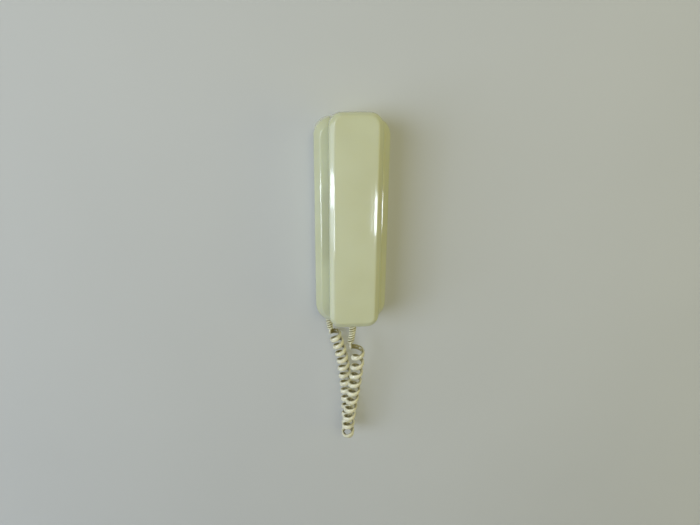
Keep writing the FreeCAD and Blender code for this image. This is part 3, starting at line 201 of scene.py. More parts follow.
curl_line = spline_points(CURL_AXIS)
print(f"middle line of the curls: {along(curl_line)[-1]:.4f} m in {len(curl_line)} points")

# %% [markdown]
# ## The curls
# A curly cord is a wire wound on a rod and set by heat. A Screw modifier winds only round a straight
# line, so the helix is worked out here. Walking along the middle line, the wire stands off it by the
# curl's radius in a direction that turns steadily. Near both ends the turning eases to nothing, so that
# the wire runs out straight into its sleeve, as on the real cord.

# %% The curls
CURL_RADIUS = 0.0057
CURLS = 24
CURL_PITCHES = (0.0096, 0.0132)
CURL_RUN_IN = 0.0025
POINTS_PER_CURL = 30
ACROSS = np.array([1.0, 0.0, 0.0])


def unit(vectors):
    """The same directions with a length of one."""
    return vectors / np.linalg.norm(vectors, axis=-1, keepdims=True)


def eased(share):
    """A smooth rise from 0 to 1: three times the square less twice the cube."""
    clipped = np.clip(share, 0, 1)
    return clipped**2 * (3 - 2 * clipped)


def headings(line):
    """The direction in which a line of points runs at each of them."""
    return unit(np.gradient(line, along(line), axis=0))


def sideways(way):
    """At each point, the direction square to the line that is nearest to straight across."""
    return unit(ACROSS - way * (way @ ACROSS)[:, None])


def wind(axis, radius, turns, run_in, pitches):
    """A right-handed helix: axis + radius * (side * cos(turn) + (way x side) * sin(turn)).

    The turn starts on the left, and its rate is 1 / pitch, eased in and out over run_in at the two ends.
    """
    span = along(axis)
    share = span / span[-1]
    rate = eased(np.minimum(span, span[-1] - span) / run_in)
    rate = rate / (pitches[0] + (pitches[1] - pitches[0]) * share)
    wound = np.concatenate([[0.0], np.cumsum((rate[1:] + rate[:-1]) / 2 * np.diff(span))])
    turn = np.pi + 2 * np.pi * turns * wound / wound[-1]
    way = headings(axis)
    side = sideways(way)
    out = side * np.cos(turn)[:, None] + np.cross(way, side) * np.sin(turn)[:, None]
    return axis + radius * out, out


curl_axis = evenly(curl_line, CURLS * POINTS_PER_CURL)
curl_wire, curl_out = wind(curl_axis, CURL_RADIUS, CURLS, CURL_RUN_IN, CURL_PITCHES)
print(f"curls: {along(curl_wire)[-1]:.4f} m of wire in {CURLS} turns")

# %% [markdown]
# ## The cord's jacket
# The jacket isn't quite round, because winding has flattened it against the rod. A curve's bevel would
# need a profile that keeps facing the rod, so each point of the wire gets a ring of its own. The rings
# keep the direction in which the wire stands off, and so never twist against each other. Short tails
# lead from the curls to the two sleeves, which lean a little. The inside of the curls gets painted shade,
# so every vertex notes how dark it is painted there.

# %% The cord's jacket
CORD_WIDE, CORD_THICK = 0.0055, 0.0029
CORD_SIDES = 16
BASE_BOOT_TIP = np.array([-0.0235, -0.0110, -0.1215])
HANDSET_BOOT_TIP = np.array([-0.0002, -0.0450, -0.1210])
BASE_LEAN, HANDSET_LEAN = 0.0015, -0.0022
LEAN_REACH = 0.030
TAIL_POINTS = 6


def tube_rings(line, out, thick, wide, sides):
    """Rings round a line: line + thick / 2 * outwards * cos(a) + wide / 2 * (way x outwards) * sin(a)."""
    way = headings(line)
    first = unit(out - way * np.sum(out * way, axis=1)[:, None])
    second = np.cross(way, first)
    turn = np.linspace(0, 2 * np.pi, sides, endpoint=False)
    oval = first[:, None] * np.cos(turn)[:, None] * thick + second[:, None] * np.sin(turn)[:, None] * wide
    return line[:, None] + oval / 2


def painted_shade(piece, shares):
    """Note on each vertex how much painted shade it takes, from 0 to 1, for the finish to read."""
    noted = piece.data.attributes.new("painted_shade", "FLOAT", "POINT")
    noted.data.foreach_set("value", shares.astype(np.float32))


tails = np.linspace(0, 1, TAIL_POINTS, endpoint=False)[:, None]
base_tail = BASE_BOOT_TIP + (curl_wire[0] - BASE_BOOT_TIP) * tails
handset_tail = (HANDSET_BOOT_TIP + (curl_wire[-1] - HANDSET_BOOT_TIP) * tails)[::-1]
cord_line = np.concatenate([base_tail, curl_wire, handset_tail])
first_out, last_out = np.repeat(curl_out[:1], TAIL_POINTS, 0), np.repeat(curl_out[-1:], TAIL_POINTS, 0)
cord_out = np.concatenate([first_out, curl_out, last_out])
from_base = along(cord_line)
from_handset = from_base[-1] - from_base
cord_line[:, 0] += BASE_LEAN * eased(1 - from_base / LEAN_REACH)
cord_line[:, 0] += HANDSET_LEAN * eased(1 - from_handset / LEAN_REACH)
curly_cord = skin("curly_cord", tube_rings(cord_line, cord_out, CORD_THICK, CORD_WIDE, CORD_SIDES))
# Painted shade inside the curls: 0 on the outer side of each ring, 1 on the side that faces the curl's
# middle.
shade_inside_curls = 0.5 - 0.5 * np.cos(np.linspace(0, 2 * np.pi, CORD_SIDES, endpoint=False))
painted_shade(curly_cord, np.tile(shade_inside_curls, len(cord_line)))
print(f"cord: {along(cord_line)[-1]:.4f} m from sleeve to sleeve")

# %% [markdown]
# ## The boots
# Where the cord leaves the base and the handset, a ribbed sleeve keeps it from kinking. The sleeve is a
# turned shape whose radius falls from the housing to its tip. Spinning a profile would give plain rings,
# but these ribs run round as a screw thread does. A radius that depends on height and angle together
# gives that in one formula.

# %% The boots
BOOT_TOP_RADIUS, BOOT_TIP_RADIUS = 0.0040, 0.0033
BOOT_NECK, BOOT_NECK_SUNK = 0.0046, 0.0004
BOOT_GROOVE = 0.0012
BOOT_RIB_PITCH, BOOT_RIB_STARTS = 0.0028, 2
BOOT_EASE = 0.0008
BOOT_ROWS, BOOT_SIDES = 200, 32
RIB_SHARP_DEGREES = 60


def boot(name, node, tip, lean):
    """A sleeve from its housing down to its tip, whose middle line bends by lean * drop^2.

    Radius = taper - groove depth * wave^2, where the wave is a raised cosine of height / rib pitch +
    starts * angle / full turn. The lip at the tip and the neck at the top, which is thinner, have no rib.
    """
    low, high = (np.array(corner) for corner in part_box(node))
    long = high[2] - low[2]
    drop = np.linspace(0, 1, BOOT_ROWS)[:, None]
    angle = np.linspace(0, 2 * np.pi, BOOT_SIDES, endpoint=False)[None]
    below_neck = eased((long * drop - BOOT_NECK) / BOOT_EASE)
    taper = BOOT_TOP_RADIUS + (BOOT_TIP_RADIUS - BOOT_TOP_RADIUS) * drop
    kept = below_neck * eased(long * (1 - drop) / BOOT_EASE)
    wave = 0.5 - 0.5 * np.cos(2 * np.pi * long * drop / BOOT_RIB_PITCH + BOOT_RIB_STARTS * angle)
    groove = kept * wave**2
    radius = taper - BOOT_GROOVE * groove - BOOT_NECK_SUNK * (1 - below_neck)
    rings = np.stack([
        tip[0] + lean * drop**2 + radius * np.cos(angle),
        tip[1] + radius * np.sin(angle),
        np.broadcast_to(high[2] - long * drop, radius.shape),
    ], axis=-1)
    made = skin(name, rings[:, ::-1], sharp=RIB_SHARP_DEGREES)
    # Painted shade in the grooves between the ribs: the deeper the groove, the darker the finish paints it.
    painted_shade(made, groove[:, ::-1].ravel())
    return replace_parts(made, node)


base_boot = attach(boot("base_boot_sleeve", "base_cord_boot", BASE_BOOT_TIP, BASE_LEAN), "base")
handset_boot = boot("handset_boot_sleeve", "handset_cord_boot", HANDSET_BOOT_TIP, HANDSET_LEAN)
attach(handset_boot, "handset")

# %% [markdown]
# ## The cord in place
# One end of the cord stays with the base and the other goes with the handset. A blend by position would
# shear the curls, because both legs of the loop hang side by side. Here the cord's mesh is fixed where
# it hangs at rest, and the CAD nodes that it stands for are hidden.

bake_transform(curly_cord)
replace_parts(curly_cord, "base_lead", "cord_curls", "handset_lead")

# %% [markdown]
# ## The handset's outlines
# Seen from the front, the handset is a rectangle whose corners are quarter circles, and so is its flat
# face, set in by the bevel. Both could be drawn as curves and filled, but the bevel has to join them
# point by point. So every outline is worked out with as many points, in the same order. The overall size
# comes from the frame.

# %% The handset's outlines
NO_INSET, FACE_INSET = (0.0, 0.0, 0.0), (0.0049, 0.0060, 0.0028)
OUTER_CORNERS, FACE_CORNERS = (0.0125, 0.0125), (0.0050, 0.0080)
SHELL_WALL = 0.0020
CORNER_STEPS, SIDE_STEPS = 14, 30

front_low, front_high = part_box("handset_front_shell")


def bent_rectangle(half_width, low, high, foot_corner, top_corner):
    """Points round a rectangle in X and Z: each corner is its middle + radius * (cos(a), sin(a))."""
    turn = np.radians(np.linspace(0, 90, CORNER_STEPS + 1))
    corners = [
        (half_width - foot_corner, low + foot_corner, foot_corner, -90),
        (half_width - top_corner, high - top_corner, top_corner, 0),
        (top_corner - half_width, high - top_corner, top_corner, 90),
        (foot_corner - half_width, low + foot_corner, foot_corner, 180),
    ]
    turns = [turn + math.radians(start) for *_, start in corners]
    arcs = [
        np.column_stack([x + radius * np.cos(angle), z + radius * np.sin(angle)])
        for (x, z, radius, _), angle in zip(corners, turns)
    ]
    between = np.linspace(0, 1, SIDE_STEPS + 1)[1:-1, None]
    sides = [arc[-1] + (after[0] - arc[-1]) * between for arc, after in zip(arcs, arcs[1:] + arcs[:1])]
    return np.concatenate([part for pair in zip(arcs, sides) for part in pair])


def handset_outline(inset, corners, wall=0.0):
    """The handset's outline, set in at its sides, foot and top, and then by a wall all round."""
    side, foot, top = inset
    return bent_rectangle(
        front_high[0] - side - wall, front_low[2] + foot + wall, front_high[2] - top - wall,
        corners[0] - wall, corners[1] - wall,
    )


outer = handset_outline(NO_INSET, OUTER_CORNERS)
inner = handset_outline(NO_INSET, OUTER_CORNERS, SHELL_WALL)
face = handset_outline(FACE_INSET, FACE_CORNERS)
inner_face = handset_outline(FACE_INSET, FACE_CORNERS, SHELL_WALL)
print(f"outlines: {len(outer)} points each, the outer one {np.ptp(outer, axis=0).round(4).tolist()} m")

# %% [markdown]
# ## The handset's front
# The front of the handset is one glossy moulding with a bevel all round. Sharp edges between flat faces
# look like cut card, and a Bevel modifier would round them all alike, so each edge is a parabola between
# a point before the edge and a point after it. The grid runs from the middle of the inner face, over the
# rim, to the middle of the front. In both middles a ring has shrunk to a line, whose points are merged.

# %% The handset's front
SPLIT, SHOULDER, FRONT = 0.0450, 0.0560, -front_low[1]
FRONT_CROWN = 0.0003
SHOULDER_SOFT, RIM_SOFT = 0.0014, 0.0003
BEVEL_SOFT, FACE_SOFT = 0.0012, 0.0030
RIM_ROWS, FACE_ROWS = 4, 13
SHARP_DEGREES = 40


def at_depth(outline, depth):
    """A ring of points in the frame: an outline in X and Z at one distance from the wall."""
    return np.column_stack([outline[:, 0], np.full(len(outline), -depth), outline[:, 1]])


def spine(outline):
    """For each point of an outline, the nearest one on the upright line in its middle."""
    low, high = outline[:, 1].min(), outline[:, 1].max()
    reach = outline[:, 0].max()
    return np.column_stack([np.zeros(len(outline)), np.clip(outline[:, 1], low + reach, high - reach)])


def soft_edge(before, corner, after, reach_before, reach_after, steps=9):
    """Rows of a parabola that rounds an edge: (1-t)^2 * start + 2t(1-t) * corner + t^2 * end."""
    start = corner + reach_before * unit(before - corner)
    end = corner + reach_after * unit(after - corner)
    t = np.linspace(0, 1, steps)[:, None, None]
    return (1 - t) ** 2 * start + 2 * t * (1 - t) * corner + t**2 * end


def front_rows():
    """The front moulding as rows from the inner spine, over the rim, to the outer spine."""
    rim_in, rim_out = at_depth(inner, SPLIT), at_depth(outer, SPLIT)
    shoulder, edge = at_depth(outer, SHOULDER), at_depth(face, FRONT)
    middle = at_depth(spine(face), FRONT)
    share = np.linspace(0, 1, FACE_ROWS + 1)[1:, None, None]
    flat_start = edge + FACE_SOFT * unit(middle - edge)
    flat = flat_start + (middle - flat_start) * share
    flat[..., 1] -= FRONT_CROWN * (1 - (1 - share[..., 0]) ** 2)
    return np.concatenate([
        at_depth(spine(inner_face), FRONT - SHELL_WALL)[None],
        at_depth(inner_face, FRONT - SHELL_WALL)[None],
        at_depth(inner, SHOULDER - SHELL_WALL)[None],
        rim_in[None],
        soft_edge(rim_in, rim_out, shoulder, RIM_SOFT, RIM_SOFT, RIM_ROWS),
        soft_edge(rim_out, shoulder, edge, SHOULDER_SOFT, SHOULDER_SOFT),
        soft_edge(shoulder, edge, middle, BEVEL_SOFT, FACE_SOFT),
        flat,
    ])


def close_seams(made, reach=1e-6):
    """Merge the points of a row that has shrunk to a line or a point, and turn the faces outwards."""
    work = bmesh.new()
    work.from_mesh(made.data)
    bmesh.ops.remove_doubles(work, verts=work.verts, dist=reach)
    bmesh.ops.recalc_face_normals(work, faces=work.faces)
    work.to_mesh(made.data)
    work.free()
    return made


handset_front = close_seams(skin("handset_face_shell", front_rows(), ends=False, sharp=SHARP_DEGREES))
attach(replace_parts(handset_front, "handset_front_shell"), "handset")

# %% [markdown]
# ## The wires inside
# The base holds the cord's tail and the handset holds two thin wires. Nobody sees them until a shell is
# taken off, but a loose line of straight runs would look like bent rod, so they follow splines too.

# %% The wires inside
INNER_LEAD_ROUTE = np.array([
    (-0.0235, -0.0110, -0.1026),
    (-0.0235, -0.0110, -0.0700),
    (-0.0240, -0.0098, -0.0440),
    (-0.0160, -0.0110, -0.0240),
    (-0.0160, -0.0110, -0.0100),
])
MICROPHONE_WIRE_ROUTE = np.array([
    (0.0017, -0.0450, -0.0934),
    (0.0017, -0.0450, -0.0800),
    (0.0000, -0.0400, -0.0700),
    (0.0000, -0.0270, -0.0700),
])
RECEIVER_WIRE_ROUTE = np.array([
    (-0.0021, -0.0450, -0.0934),
    (-0.0021, -0.0450, -0.0820),
    (-0.0120, -0.0435, -0.0660),
    (-0.0185, -0.0420, -0.0440),
    (-0.0180, -0.0420, -0.0120),
    (-0.0186, -0.0420, 0.0200),
    (-0.0180, -0.0425, 0.0440),
    (-0.0100, -0.0430, 0.0620),
    (-0.0050, -0.0410, 0.0720),
    (-0.0050, -0.0342, 0.0720),
])
INNER_LEAD_WIRE, HANDSET_WIRE = 0.0034, 0.0016
WIRE_POINTS, WIRE_SIDES = 90, 12


def inner_wire(name, route, diameter):
    """A round tube along a route's spline."""
    line = evenly(spline_points(route), WIRE_POINTS)
    return skin(name, tube_rings(line, sideways(headings(line)), diameter, diameter, WIRE_SIDES))


def joined(first, second):
    """Two meshes as one piece."""
    work = bmesh.new()
    work.from_mesh(first.data)
    work.from_mesh(second.data)
    work.to_mesh(first.data)
    work.free()
    bpy.data.objects.remove(second)
    return first


inner_tail = inner_wire("inner_cord_tail", INNER_LEAD_ROUTE, INNER_LEAD_WIRE)
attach(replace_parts(inner_tail, "inner_lead"), "base")
handset_wiring = joined(
    inner_wire("handset_wiring", RECEIVER_WIRE_ROUTE, HANDSET_WIRE),
    inner_wire("microphone_wire", MICROPHONE_WIRE_ROUTE, HANDSET_WIRE),
)
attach(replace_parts(handset_wiring, "handset_wires"), "handset")

# %% [markdown]
# ## The hook's spring
# A small compression spring pushes the hook lever out when the handset is lifted. It is wound by the
# same formula as the cord's curls, round a straight line that the frame gives. Its foot stays on the wall
# plate and its head goes with the lever.

# %% The hook's spring
SPRING_WIRE, SPRING_RADIUS, SPRING_TURNS, SPRING_RUN_IN = 0.00065, 0.0027, 4, 0.0012
POINTS_PER_SPRING_TURN = 40
EVEN_PITCH = (1.0, 1.0)

spring_low, spring_high = (np.array(corner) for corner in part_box("hook_spring"))
spring_foot, spring_head = np.repeat([(spring_low + spring_high) / 2], 2, axis=0)
spring_foot[1] = spring_high[1] - SPRING_WIRE / 2
spring_head[1] = spring_low[1] + SPRING_WIRE / 2
spring_axis = evenly(np.array([spring_foot, spring_head]), SPRING_TURNS * POINTS_PER_SPRING_TURN)
spring_line, spring_out = wind(spring_axis, SPRING_RADIUS, SPRING_TURNS, SPRING_RUN_IN, EVEN_PITCH)
spring_rings = tube_rings(spring_line, spring_out, SPRING_WIRE, SPRING_WIRE, WIRE_SIDES)
hook_coil = skin("hook_coil_spring", spring_rings)
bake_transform(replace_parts(hook_coil, "hook_spring"))

# %% [markdown]
# ## Finishes: how a material is put together
# Each finish is a small graph of nodes. It could be joined up by hand in the shader editor, but a script
# keeps every link in sight, and a few helpers keep each graph short. One adds a node and joins its
# inputs, one starts a material, and the others give the shader its patterns, its relief and its glow.

# %% Nodes of a finish


def add(tree, kind, inputs, **settings):
    """A node of one kind; each input is a number, a colour or another node's output."""
    made = tree.nodes.new(f"ShaderNode{kind}")
    for key, value in settings.items():
        setattr(made, key, value)
    for socket, value in inputs.items():
        if isinstance(value, bpy.types.NodeSocket):
            tree.links.new(value, made.inputs[socket])
        else:
            made.inputs[socket].default_value = value
    return made


def new_finish(name):
    """An empty material: its tree, its shader and the Object coordinates that its patterns read."""
    made = bpy.data.materials.new(name)
    made.use_nodes = True
    tree = made.node_tree
    place = add(tree, "TexCoord", {}).outputs["Object"]
    return made, tree, tree.nodes["Principled BSDF"], place


def linked(tree, shader, **sources):
    """Join outputs to the shader's inputs, named with underscores."""
    for key, source in sources.items():
        tree.links.new(source, shader.inputs[key.replace("_", " ").title()])


def raised(tree, shader, height, distance):
    """A bump of a height in metres on the shader's normal."""
    bump = add(tree, "Bump", {"Height": height, "Distance": distance, "Strength": 1.0})
    tree.links.new(bump.outputs["Normal"], shader.inputs["Normal"])


def glow(shader, weight, reach):
    """Let light into the skin and out again, as far off as the reach of red, green and blue in metres."""
    shader.inputs["Subsurface Weight"].default_value = weight
    shader.inputs["Subsurface Radius"].default_value = reach
    shader.inputs["Subsurface Scale"].default_value = 1.0


# %% [markdown]
# ## Finishes: patterns
# Noise decides where the colour, the gloss and the height of a surface differ. A painted image would have
# to be unwrapped, and shows its pixels close up. Noise has neither fault, and it reads Object coordinates,
# which are metres here because every piece sits at the origin. So a grain is given by its real size.

# %% Patterns of a finish
NOISE_SPAN = (0.3, 0.7)


def stretched(tree, place, scale):
    """Coordinates stretched by three factors, for streaks and brushing."""
    return add(tree, "Mapping", {"Vector": place, "Scale": scale}).outputs["Vector"]


def grain(tree, place, size, detail=3.0, rough=0.5):
    """Noise whose patches are about one size across, in metres."""
    inputs = {"Vector": place, "Scale": 1 / size, "Detail": detail, "Roughness": rough}
    return add(tree, "TexNoise", inputs).outputs["Fac"]


def tones(tree, share, span, first, last):
    """A colour that runs from a first to a last one as a share crosses its span."""
    made = add(tree, "ValToRGB", {"Fac": share})
    for stop, position, colour in zip(made.color_ramp.elements, span, (first, last)):
        stop.position, stop.color = position, (*colour, 1)
    return made.outputs["Color"]


def ranged(tree, share, low, high, span=NOISE_SPAN):
    """A number that runs from low to high as a share crosses a span, by default where noise mostly is."""
    inputs = {"Value": share, "From Min": span[0], "From Max": span[1], "To Min": low, "To Max": high}
    return add(tree, "MapRange", inputs).outputs["Result"]


def mixed(tree, share, first, second):
    """Two colours mixed by a share. A colour mix has its colours at inputs 6 and 7 and its result at 2."""
    return add(tree, "Mix", {0: share, 6: first, 7: second}, data_type="RGBA").outputs[2]


def added(tree, first, second, share):
    """Two patterns added together, the second times a share."""
    scaled = add(tree, "Math", {0: second, 1: share}, operation="MULTIPLY").outputs["Value"]
    return add(tree, "Math", {0: first, 1: scaled}, operation="ADD").outputs["Value"]


# %% [markdown]
# ## Ivory plastic
# The shells are glossy styrene that has yellowed a little over the years. Its colour drifts slowly over
# the surface, its gloss is broken by faint smears from hands and cloths, and the moulding has a slight
# ripple like the skin of an orange. One colour and one gloss all over would look like paint, so each of
# these is a noise of its own. One function makes the glossy shells and the duller wall plate.

# %% Ivory plastic
DRIFT_PATCH, DRIFT_SPAN = 0.055, (0.35, 0.68)
SMEAR_PATCH, SMEAR_STRETCH, SMEAR_DULLS = 0.012, (1.0, 1.0, 0.35), 0.06
SPECK_CELL, SPECK_SIZE, SPECK_CORE = 0.016, 0.0005, 0.6
SPECK_PATCH, SPECK_SPAN, SPECK_COLOUR = 0.064, (0.60, 0.64), (0.20, 0.18, 0.10, 1)
PEEL_COARSE, PEEL_FINE, PEEL_FINE_SHARE = 0.0035, 0.0006, 0.35
STYRENE_IOR = 1.53
IVORY_GLOW, IVORY_REACH = 0.12, (0.0022, 0.0018, 0.0007)


def specks(tree, place):
    """1 in a few tiny round dots, 0 elsewhere: the nearest points of a cell pattern, thinned by a noise."""
    near = add(tree, "TexVoronoi", {"Vector": place, "Scale": 1 / SPECK_CELL}).outputs["Distance"]
    edge = SPECK_SIZE / SPECK_CELL
    dot = ranged(tree, near, 0.0, 1.0, span=(edge, SPECK_CORE * edge))
    keep = ranged(tree, grain(tree, place, SPECK_PATCH, detail=0.0), 0.0, 1.0, span=SPECK_SPAN)
    return add(tree, "Math", {0: dot, 1: keep}, operation="MULTIPLY").outputs["Value"]


def ivory(name, pale, yellowed, gloss, peel):
    """Styrene: a colour that drifts, a few specks, smears in the gloss, a rippled skin and some glow."""
    made, tree, shader, place = new_finish(name)
    drift = tones(tree, grain(tree, place, DRIFT_PATCH, detail=2.0), DRIFT_SPAN, pale, yellowed)
    linked(tree, shader, base_color=mixed(tree, specks(tree, place), drift, SPECK_COLOUR))
    smears = grain(tree, stretched(tree, place, SMEAR_STRETCH), SMEAR_PATCH, detail=5.0, rough=0.6)
    linked(tree, shader, roughness=ranged(tree, smears, gloss, gloss + SMEAR_DULLS))
    coarse = grain(tree, place, PEEL_COARSE, detail=1.0)
    fine = grain(tree, place, PEEL_FINE, detail=2.0)
    raised(tree, shader, added(tree, coarse, fine, PEEL_FINE_SHARE), peel)
    shader.inputs["IOR"].default_value = STYRENE_IOR
    glow(shader, IVORY_GLOW, IVORY_REACH)
    return made


ivory_gloss = ivory("ivory_gloss", (0.66, 0.69, 0.49), (0.62, 0.64, 0.43), gloss=0.055, peel=0.000004)
ivory_satin = ivory("ivory_satin", (0.62, 0.64, 0.45), (0.57, 0.58, 0.38), gloss=0.34, peel=0.000030)
print("ivory finishes:", ivory_gloss.name, ivory_satin.name)

# %% [markdown]
# ## Cord jacket and boots
# The cord's jacket is soft cream vinyl. It is satin rather than glossy, a little greyer where it has been
# handled, and its skin has fine lines along the wire from the die that it was drawn through. Those lines
# follow the wire, so they read the UV map, whose first axis runs round the tube.

# %% Cord jacket and boots
HANDLED_PATCH, DIRT_AND_SHADE_SPAN, SHADE_SHARE = 0.009, (0.55, 1.00), 0.6
SATIN_PATCH, SATIN_DULLS = 0.004, 0.12
LINES_ALONG, PORE_SIZE, PORE_SHARE, VINYL_RELIEF = 30.0, 0.0005, 0.6, 0.000035
VINYL_GLOW, VINYL_REACH = 0.10, (0.0016, 0.0014, 0.0009)


def soft_vinyl(name, clean, grimy_and_shaded, gloss, lines):
    """Vinyl: darker with handled dirt and with the painted shade noted on it, satin in patches, with drawn
    lines and pores in its skin.
    """
    made, tree, shader, place = new_finish(name)
    round_tube = add(tree, "TexCoord", {}).outputs["UV"]
    # The noted attribute is painted shade, not dirt. The handled noise added to it is real dirt.
    shade_mark = add(tree, "Attribute", {}, attribute_name="painted_shade").outputs["Fac"]
    dirt_and_shade = added(tree, grain(tree, place, HANDLED_PATCH, detail=4.0, rough=0.6), shade_mark, SHADE_SHARE)
    linked(tree, shader, base_color=tones(tree, dirt_and_shade, DIRT_AND_SHADE_SPAN, clean, grimy_and_shaded))
    patches = grain(tree, place, SATIN_PATCH)
    linked(tree, shader, roughness=ranged(tree, patches, gloss, gloss + SATIN_DULLS))
    drawn = grain(tree, stretched(tree, round_tube, (lines, LINES_ALONG, 1.0)), 1.0, detail=2.0)
    pores = added(tree, drawn, grain(tree, place, PORE_SIZE), PORE_SHARE)
    raised(tree, shader, pores, VINYL_RELIEF)
    glow(shader, VINYL_GLOW, VINYL_REACH)
    return made


# The second colour is the dark of handled dirt, and of the painted shade inside the curls and between the
# ribs.
cord_vinyl = soft_vinyl("cord_vinyl", (0.84, 0.82, 0.63), (0.26, 0.23, 0.10), gloss=0.22, lines=24.0)
boot_vinyl = soft_vinyl("boot_vinyl", (0.74, 0.73, 0.54), (0.24, 0.21, 0.08), gloss=0.30, lines=16.0)
wire_vinyl = soft_vinyl("wire_vinyl", (0.50, 0.05, 0.04), (0.34, 0.03, 0.03), gloss=0.35, lines=12.0)
print("vinyl finishes:", cord_vinyl.name, boot_vinyl.name, wire_vinyl.name)

# %% [markdown]
# ## Metals
# Screws, the bracket and the board's fixings are zinc plated: bright, bluish, with cloudy patches. The
# spring and pin are drawn wire with fine lines along them. The capsules are pressed aluminium, and the
# weight in the grip is a rough painted casting. They could be four graphs, but they differ only in colour,
# roughness, grain, brushing and relief, so one function takes those.

# %% Metals
UNBRUSHED, BRUSHED_UPRIGHT, BRUSHED_ACROSS = (1.0, 1.0, 1.0), (1.0, 1.0, 0.2), (0.2, 1.0, 1.0)
CLOUD_SPAN, CLOUD_DULLS, RELIEF_FINER = (0.3, 0.75), 0.2, 5


def metal(name, bright, dull, gloss, patch, relief, brushing=UNBRUSHED):
    """Metal: cloudy patches in its colour and gloss, and a finer relief, both brushed."""
    made, tree, shader, place = new_finish(name)
    shader.inputs["Metallic"].default_value = 1.0
    clouds = grain(tree, stretched(tree, place, brushing), patch, detail=5.0, rough=0.65)
    linked(tree, shader, base_color=tones(tree, clouds, CLOUD_SPAN, bright, dull))
    linked(tree, shader, roughness=ranged(tree, clouds, gloss, gloss + CLOUD_DULLS))
    raised(tree, shader, grain(tree, stretched(tree, place, brushing), patch / RELIEF_FINER), relief)
    return made


zinc = metal(
    "zinc_plate", (0.72, 0.74, 0.75), (0.52, 0.52, 0.48), gloss=0.24, patch=0.0016, relief=0.00002
)
drawn_steel = metal(
    "drawn_steel", (0.70, 0.70, 0.71), (0.50, 0.49, 0.47), gloss=0.20, patch=0.0006, relief=0.00001,
    brushing=BRUSHED_UPRIGHT,
)
pressed_alloy = metal(
    "pressed_alloy", (0.78, 0.78, 0.77), (0.62, 0.62, 0.61), gloss=0.30, patch=0.0010, relief=0.00002,
    brushing=BRUSHED_ACROSS,
)
cast_weight = metal(
    "cast_weight", (0.20, 0.19, 0.18), (0.12, 0.11, 0.10), gloss=0.50, patch=0.0025, relief=0.00012
)
print("metals:", zinc.name, drawn_steel.name, pressed_alloy.name, cast_weight.name)

# %% [markdown]
# ## Rubber, foam and small mouldings
# What is left is small: rubber pads and a rubber microphone boot, a foam ring, black and white mouldings
# on the board, and blue sleeves on the capacitors. They share one function, because the difference lies
# in their colours, their gloss, and how coarse their skin is.

# %% Rubber, foam and small mouldings
WEAR_PATCH, WEAR_SPAN, WEAR_DULLS = 0.006, (0.35, 0.75), 0.15


def moulding(name, base, worn, gloss, skin_size, relief):
    """A moulding: worn in patches that are paler and duller, with a skin of its own coarseness."""
    made, tree, shader, place = new_finish(name)
    wear = grain(tree, place, WEAR_PATCH, detail=5.0, rough=0.6)
    linked(tree, shader, base_color=tones(tree, wear, WEAR_SPAN, base, worn))
    linked(tree, shader, roughness=ranged(tree, wear, gloss, gloss + WEAR_DULLS))
    raised(tree, shader, grain(tree, place, skin_size, detail=4.0, rough=0.7), relief)
    return made


soft_rubber = moulding(
    "soft_rubber", (0.030, 0.030, 0.029), (0.060, 0.058, 0.054), gloss=0.55, skin_size=0.0007, relief=0.00006
)
ring_foam = moulding(
    "ring_foam", (0.022, 0.022, 0.022), (0.050, 0.050, 0.050), gloss=0.85, skin_size=0.0009, relief=0.00030
)
black_resin = moulding(
    "black_resin", (0.018, 0.018, 0.018), (0.034, 0.033, 0.032), gloss=0.38, skin_size=0.0004, relief=0.00003
)
white_nylon = moulding(
    "white_nylon", (0.76, 0.74, 0.66), (0.66, 0.63, 0.54), gloss=0.36, skin_size=0.0006, relief=0.00002
)
blue_sleeve = moulding(
    "blue_sleeve", (0.010, 0.025, 0.130), (0.016, 0.034, 0.150), gloss=0.20, skin_size=0.0012, relief=0.00002
)
print("mouldings:", soft_rubber.name, ring_foam.name, black_resin.name, white_nylon.name, blue_sleeve.name)

# %% [markdown]
# ## Circuit board
# Such boards are brown paper laminate. The fibres show as fine streaks, and tracks run under the varnish
# as slightly raised, paler lines. Each track could be drawn as a curve, but the board is seen only with
# the cover off, so a wave pattern bent by noise gives them.

# %% Circuit board
FIBRE_STRETCH, FIBRE_SIZE = (0.15, 1.0, 1.0), 0.0008
FIBRE_PALE, FIBRE_DARK = (0.30, 0.17, 0.055), (0.22, 0.12, 0.040)
TRACK_WAVES, TRACK_BEND, TRACK_SPAN = 55.0, 6.0, (0.80, 0.86)
TRACK_COLOUR, TRACK_RELIEF, FIBRE_SHARE = (0.42, 0.27, 0.09, 1), 0.00004, 0.2
BOARD_GLOSS = (0.38, 0.52)


def laminate(name):
    """Paper laminate: streaks of fibre in two browns, with the crests of a bent wave raised as tracks."""
    made, tree, shader, place = new_finish(name)
    fibres = grain(tree, stretched(tree, place, FIBRE_STRETCH), FIBRE_SIZE, detail=4.0)
    waves = {"Vector": place, "Scale": TRACK_WAVES, "Distortion": TRACK_BEND, "Detail": 0.0}
    track = add(tree, "TexWave", waves, wave_type="BANDS", bands_direction="Z").outputs["Fac"]
    lines = ranged(tree, track, 0.0, 1.0, span=TRACK_SPAN)
    brown = tones(tree, fibres, NOISE_SPAN, FIBRE_PALE, FIBRE_DARK)
    linked(tree, shader, base_color=mixed(tree, lines, brown, TRACK_COLOUR))
    linked(tree, shader, roughness=ranged(tree, fibres, *BOARD_GLOSS))
    raised(tree, shader, added(tree, lines, fibres, FIBRE_SHARE), TRACK_RELIEF)
    return made


paper_laminate = laminate("paper_laminate")
print("board finish:", paper_laminate.name)

# %% [markdown]
# ## Dressing every piece
# A table says which finish each CAD node and each new piece takes. A CAD node keeps its mesh and gets only
# a material, and a new piece also names the slot of the record that it stands for.

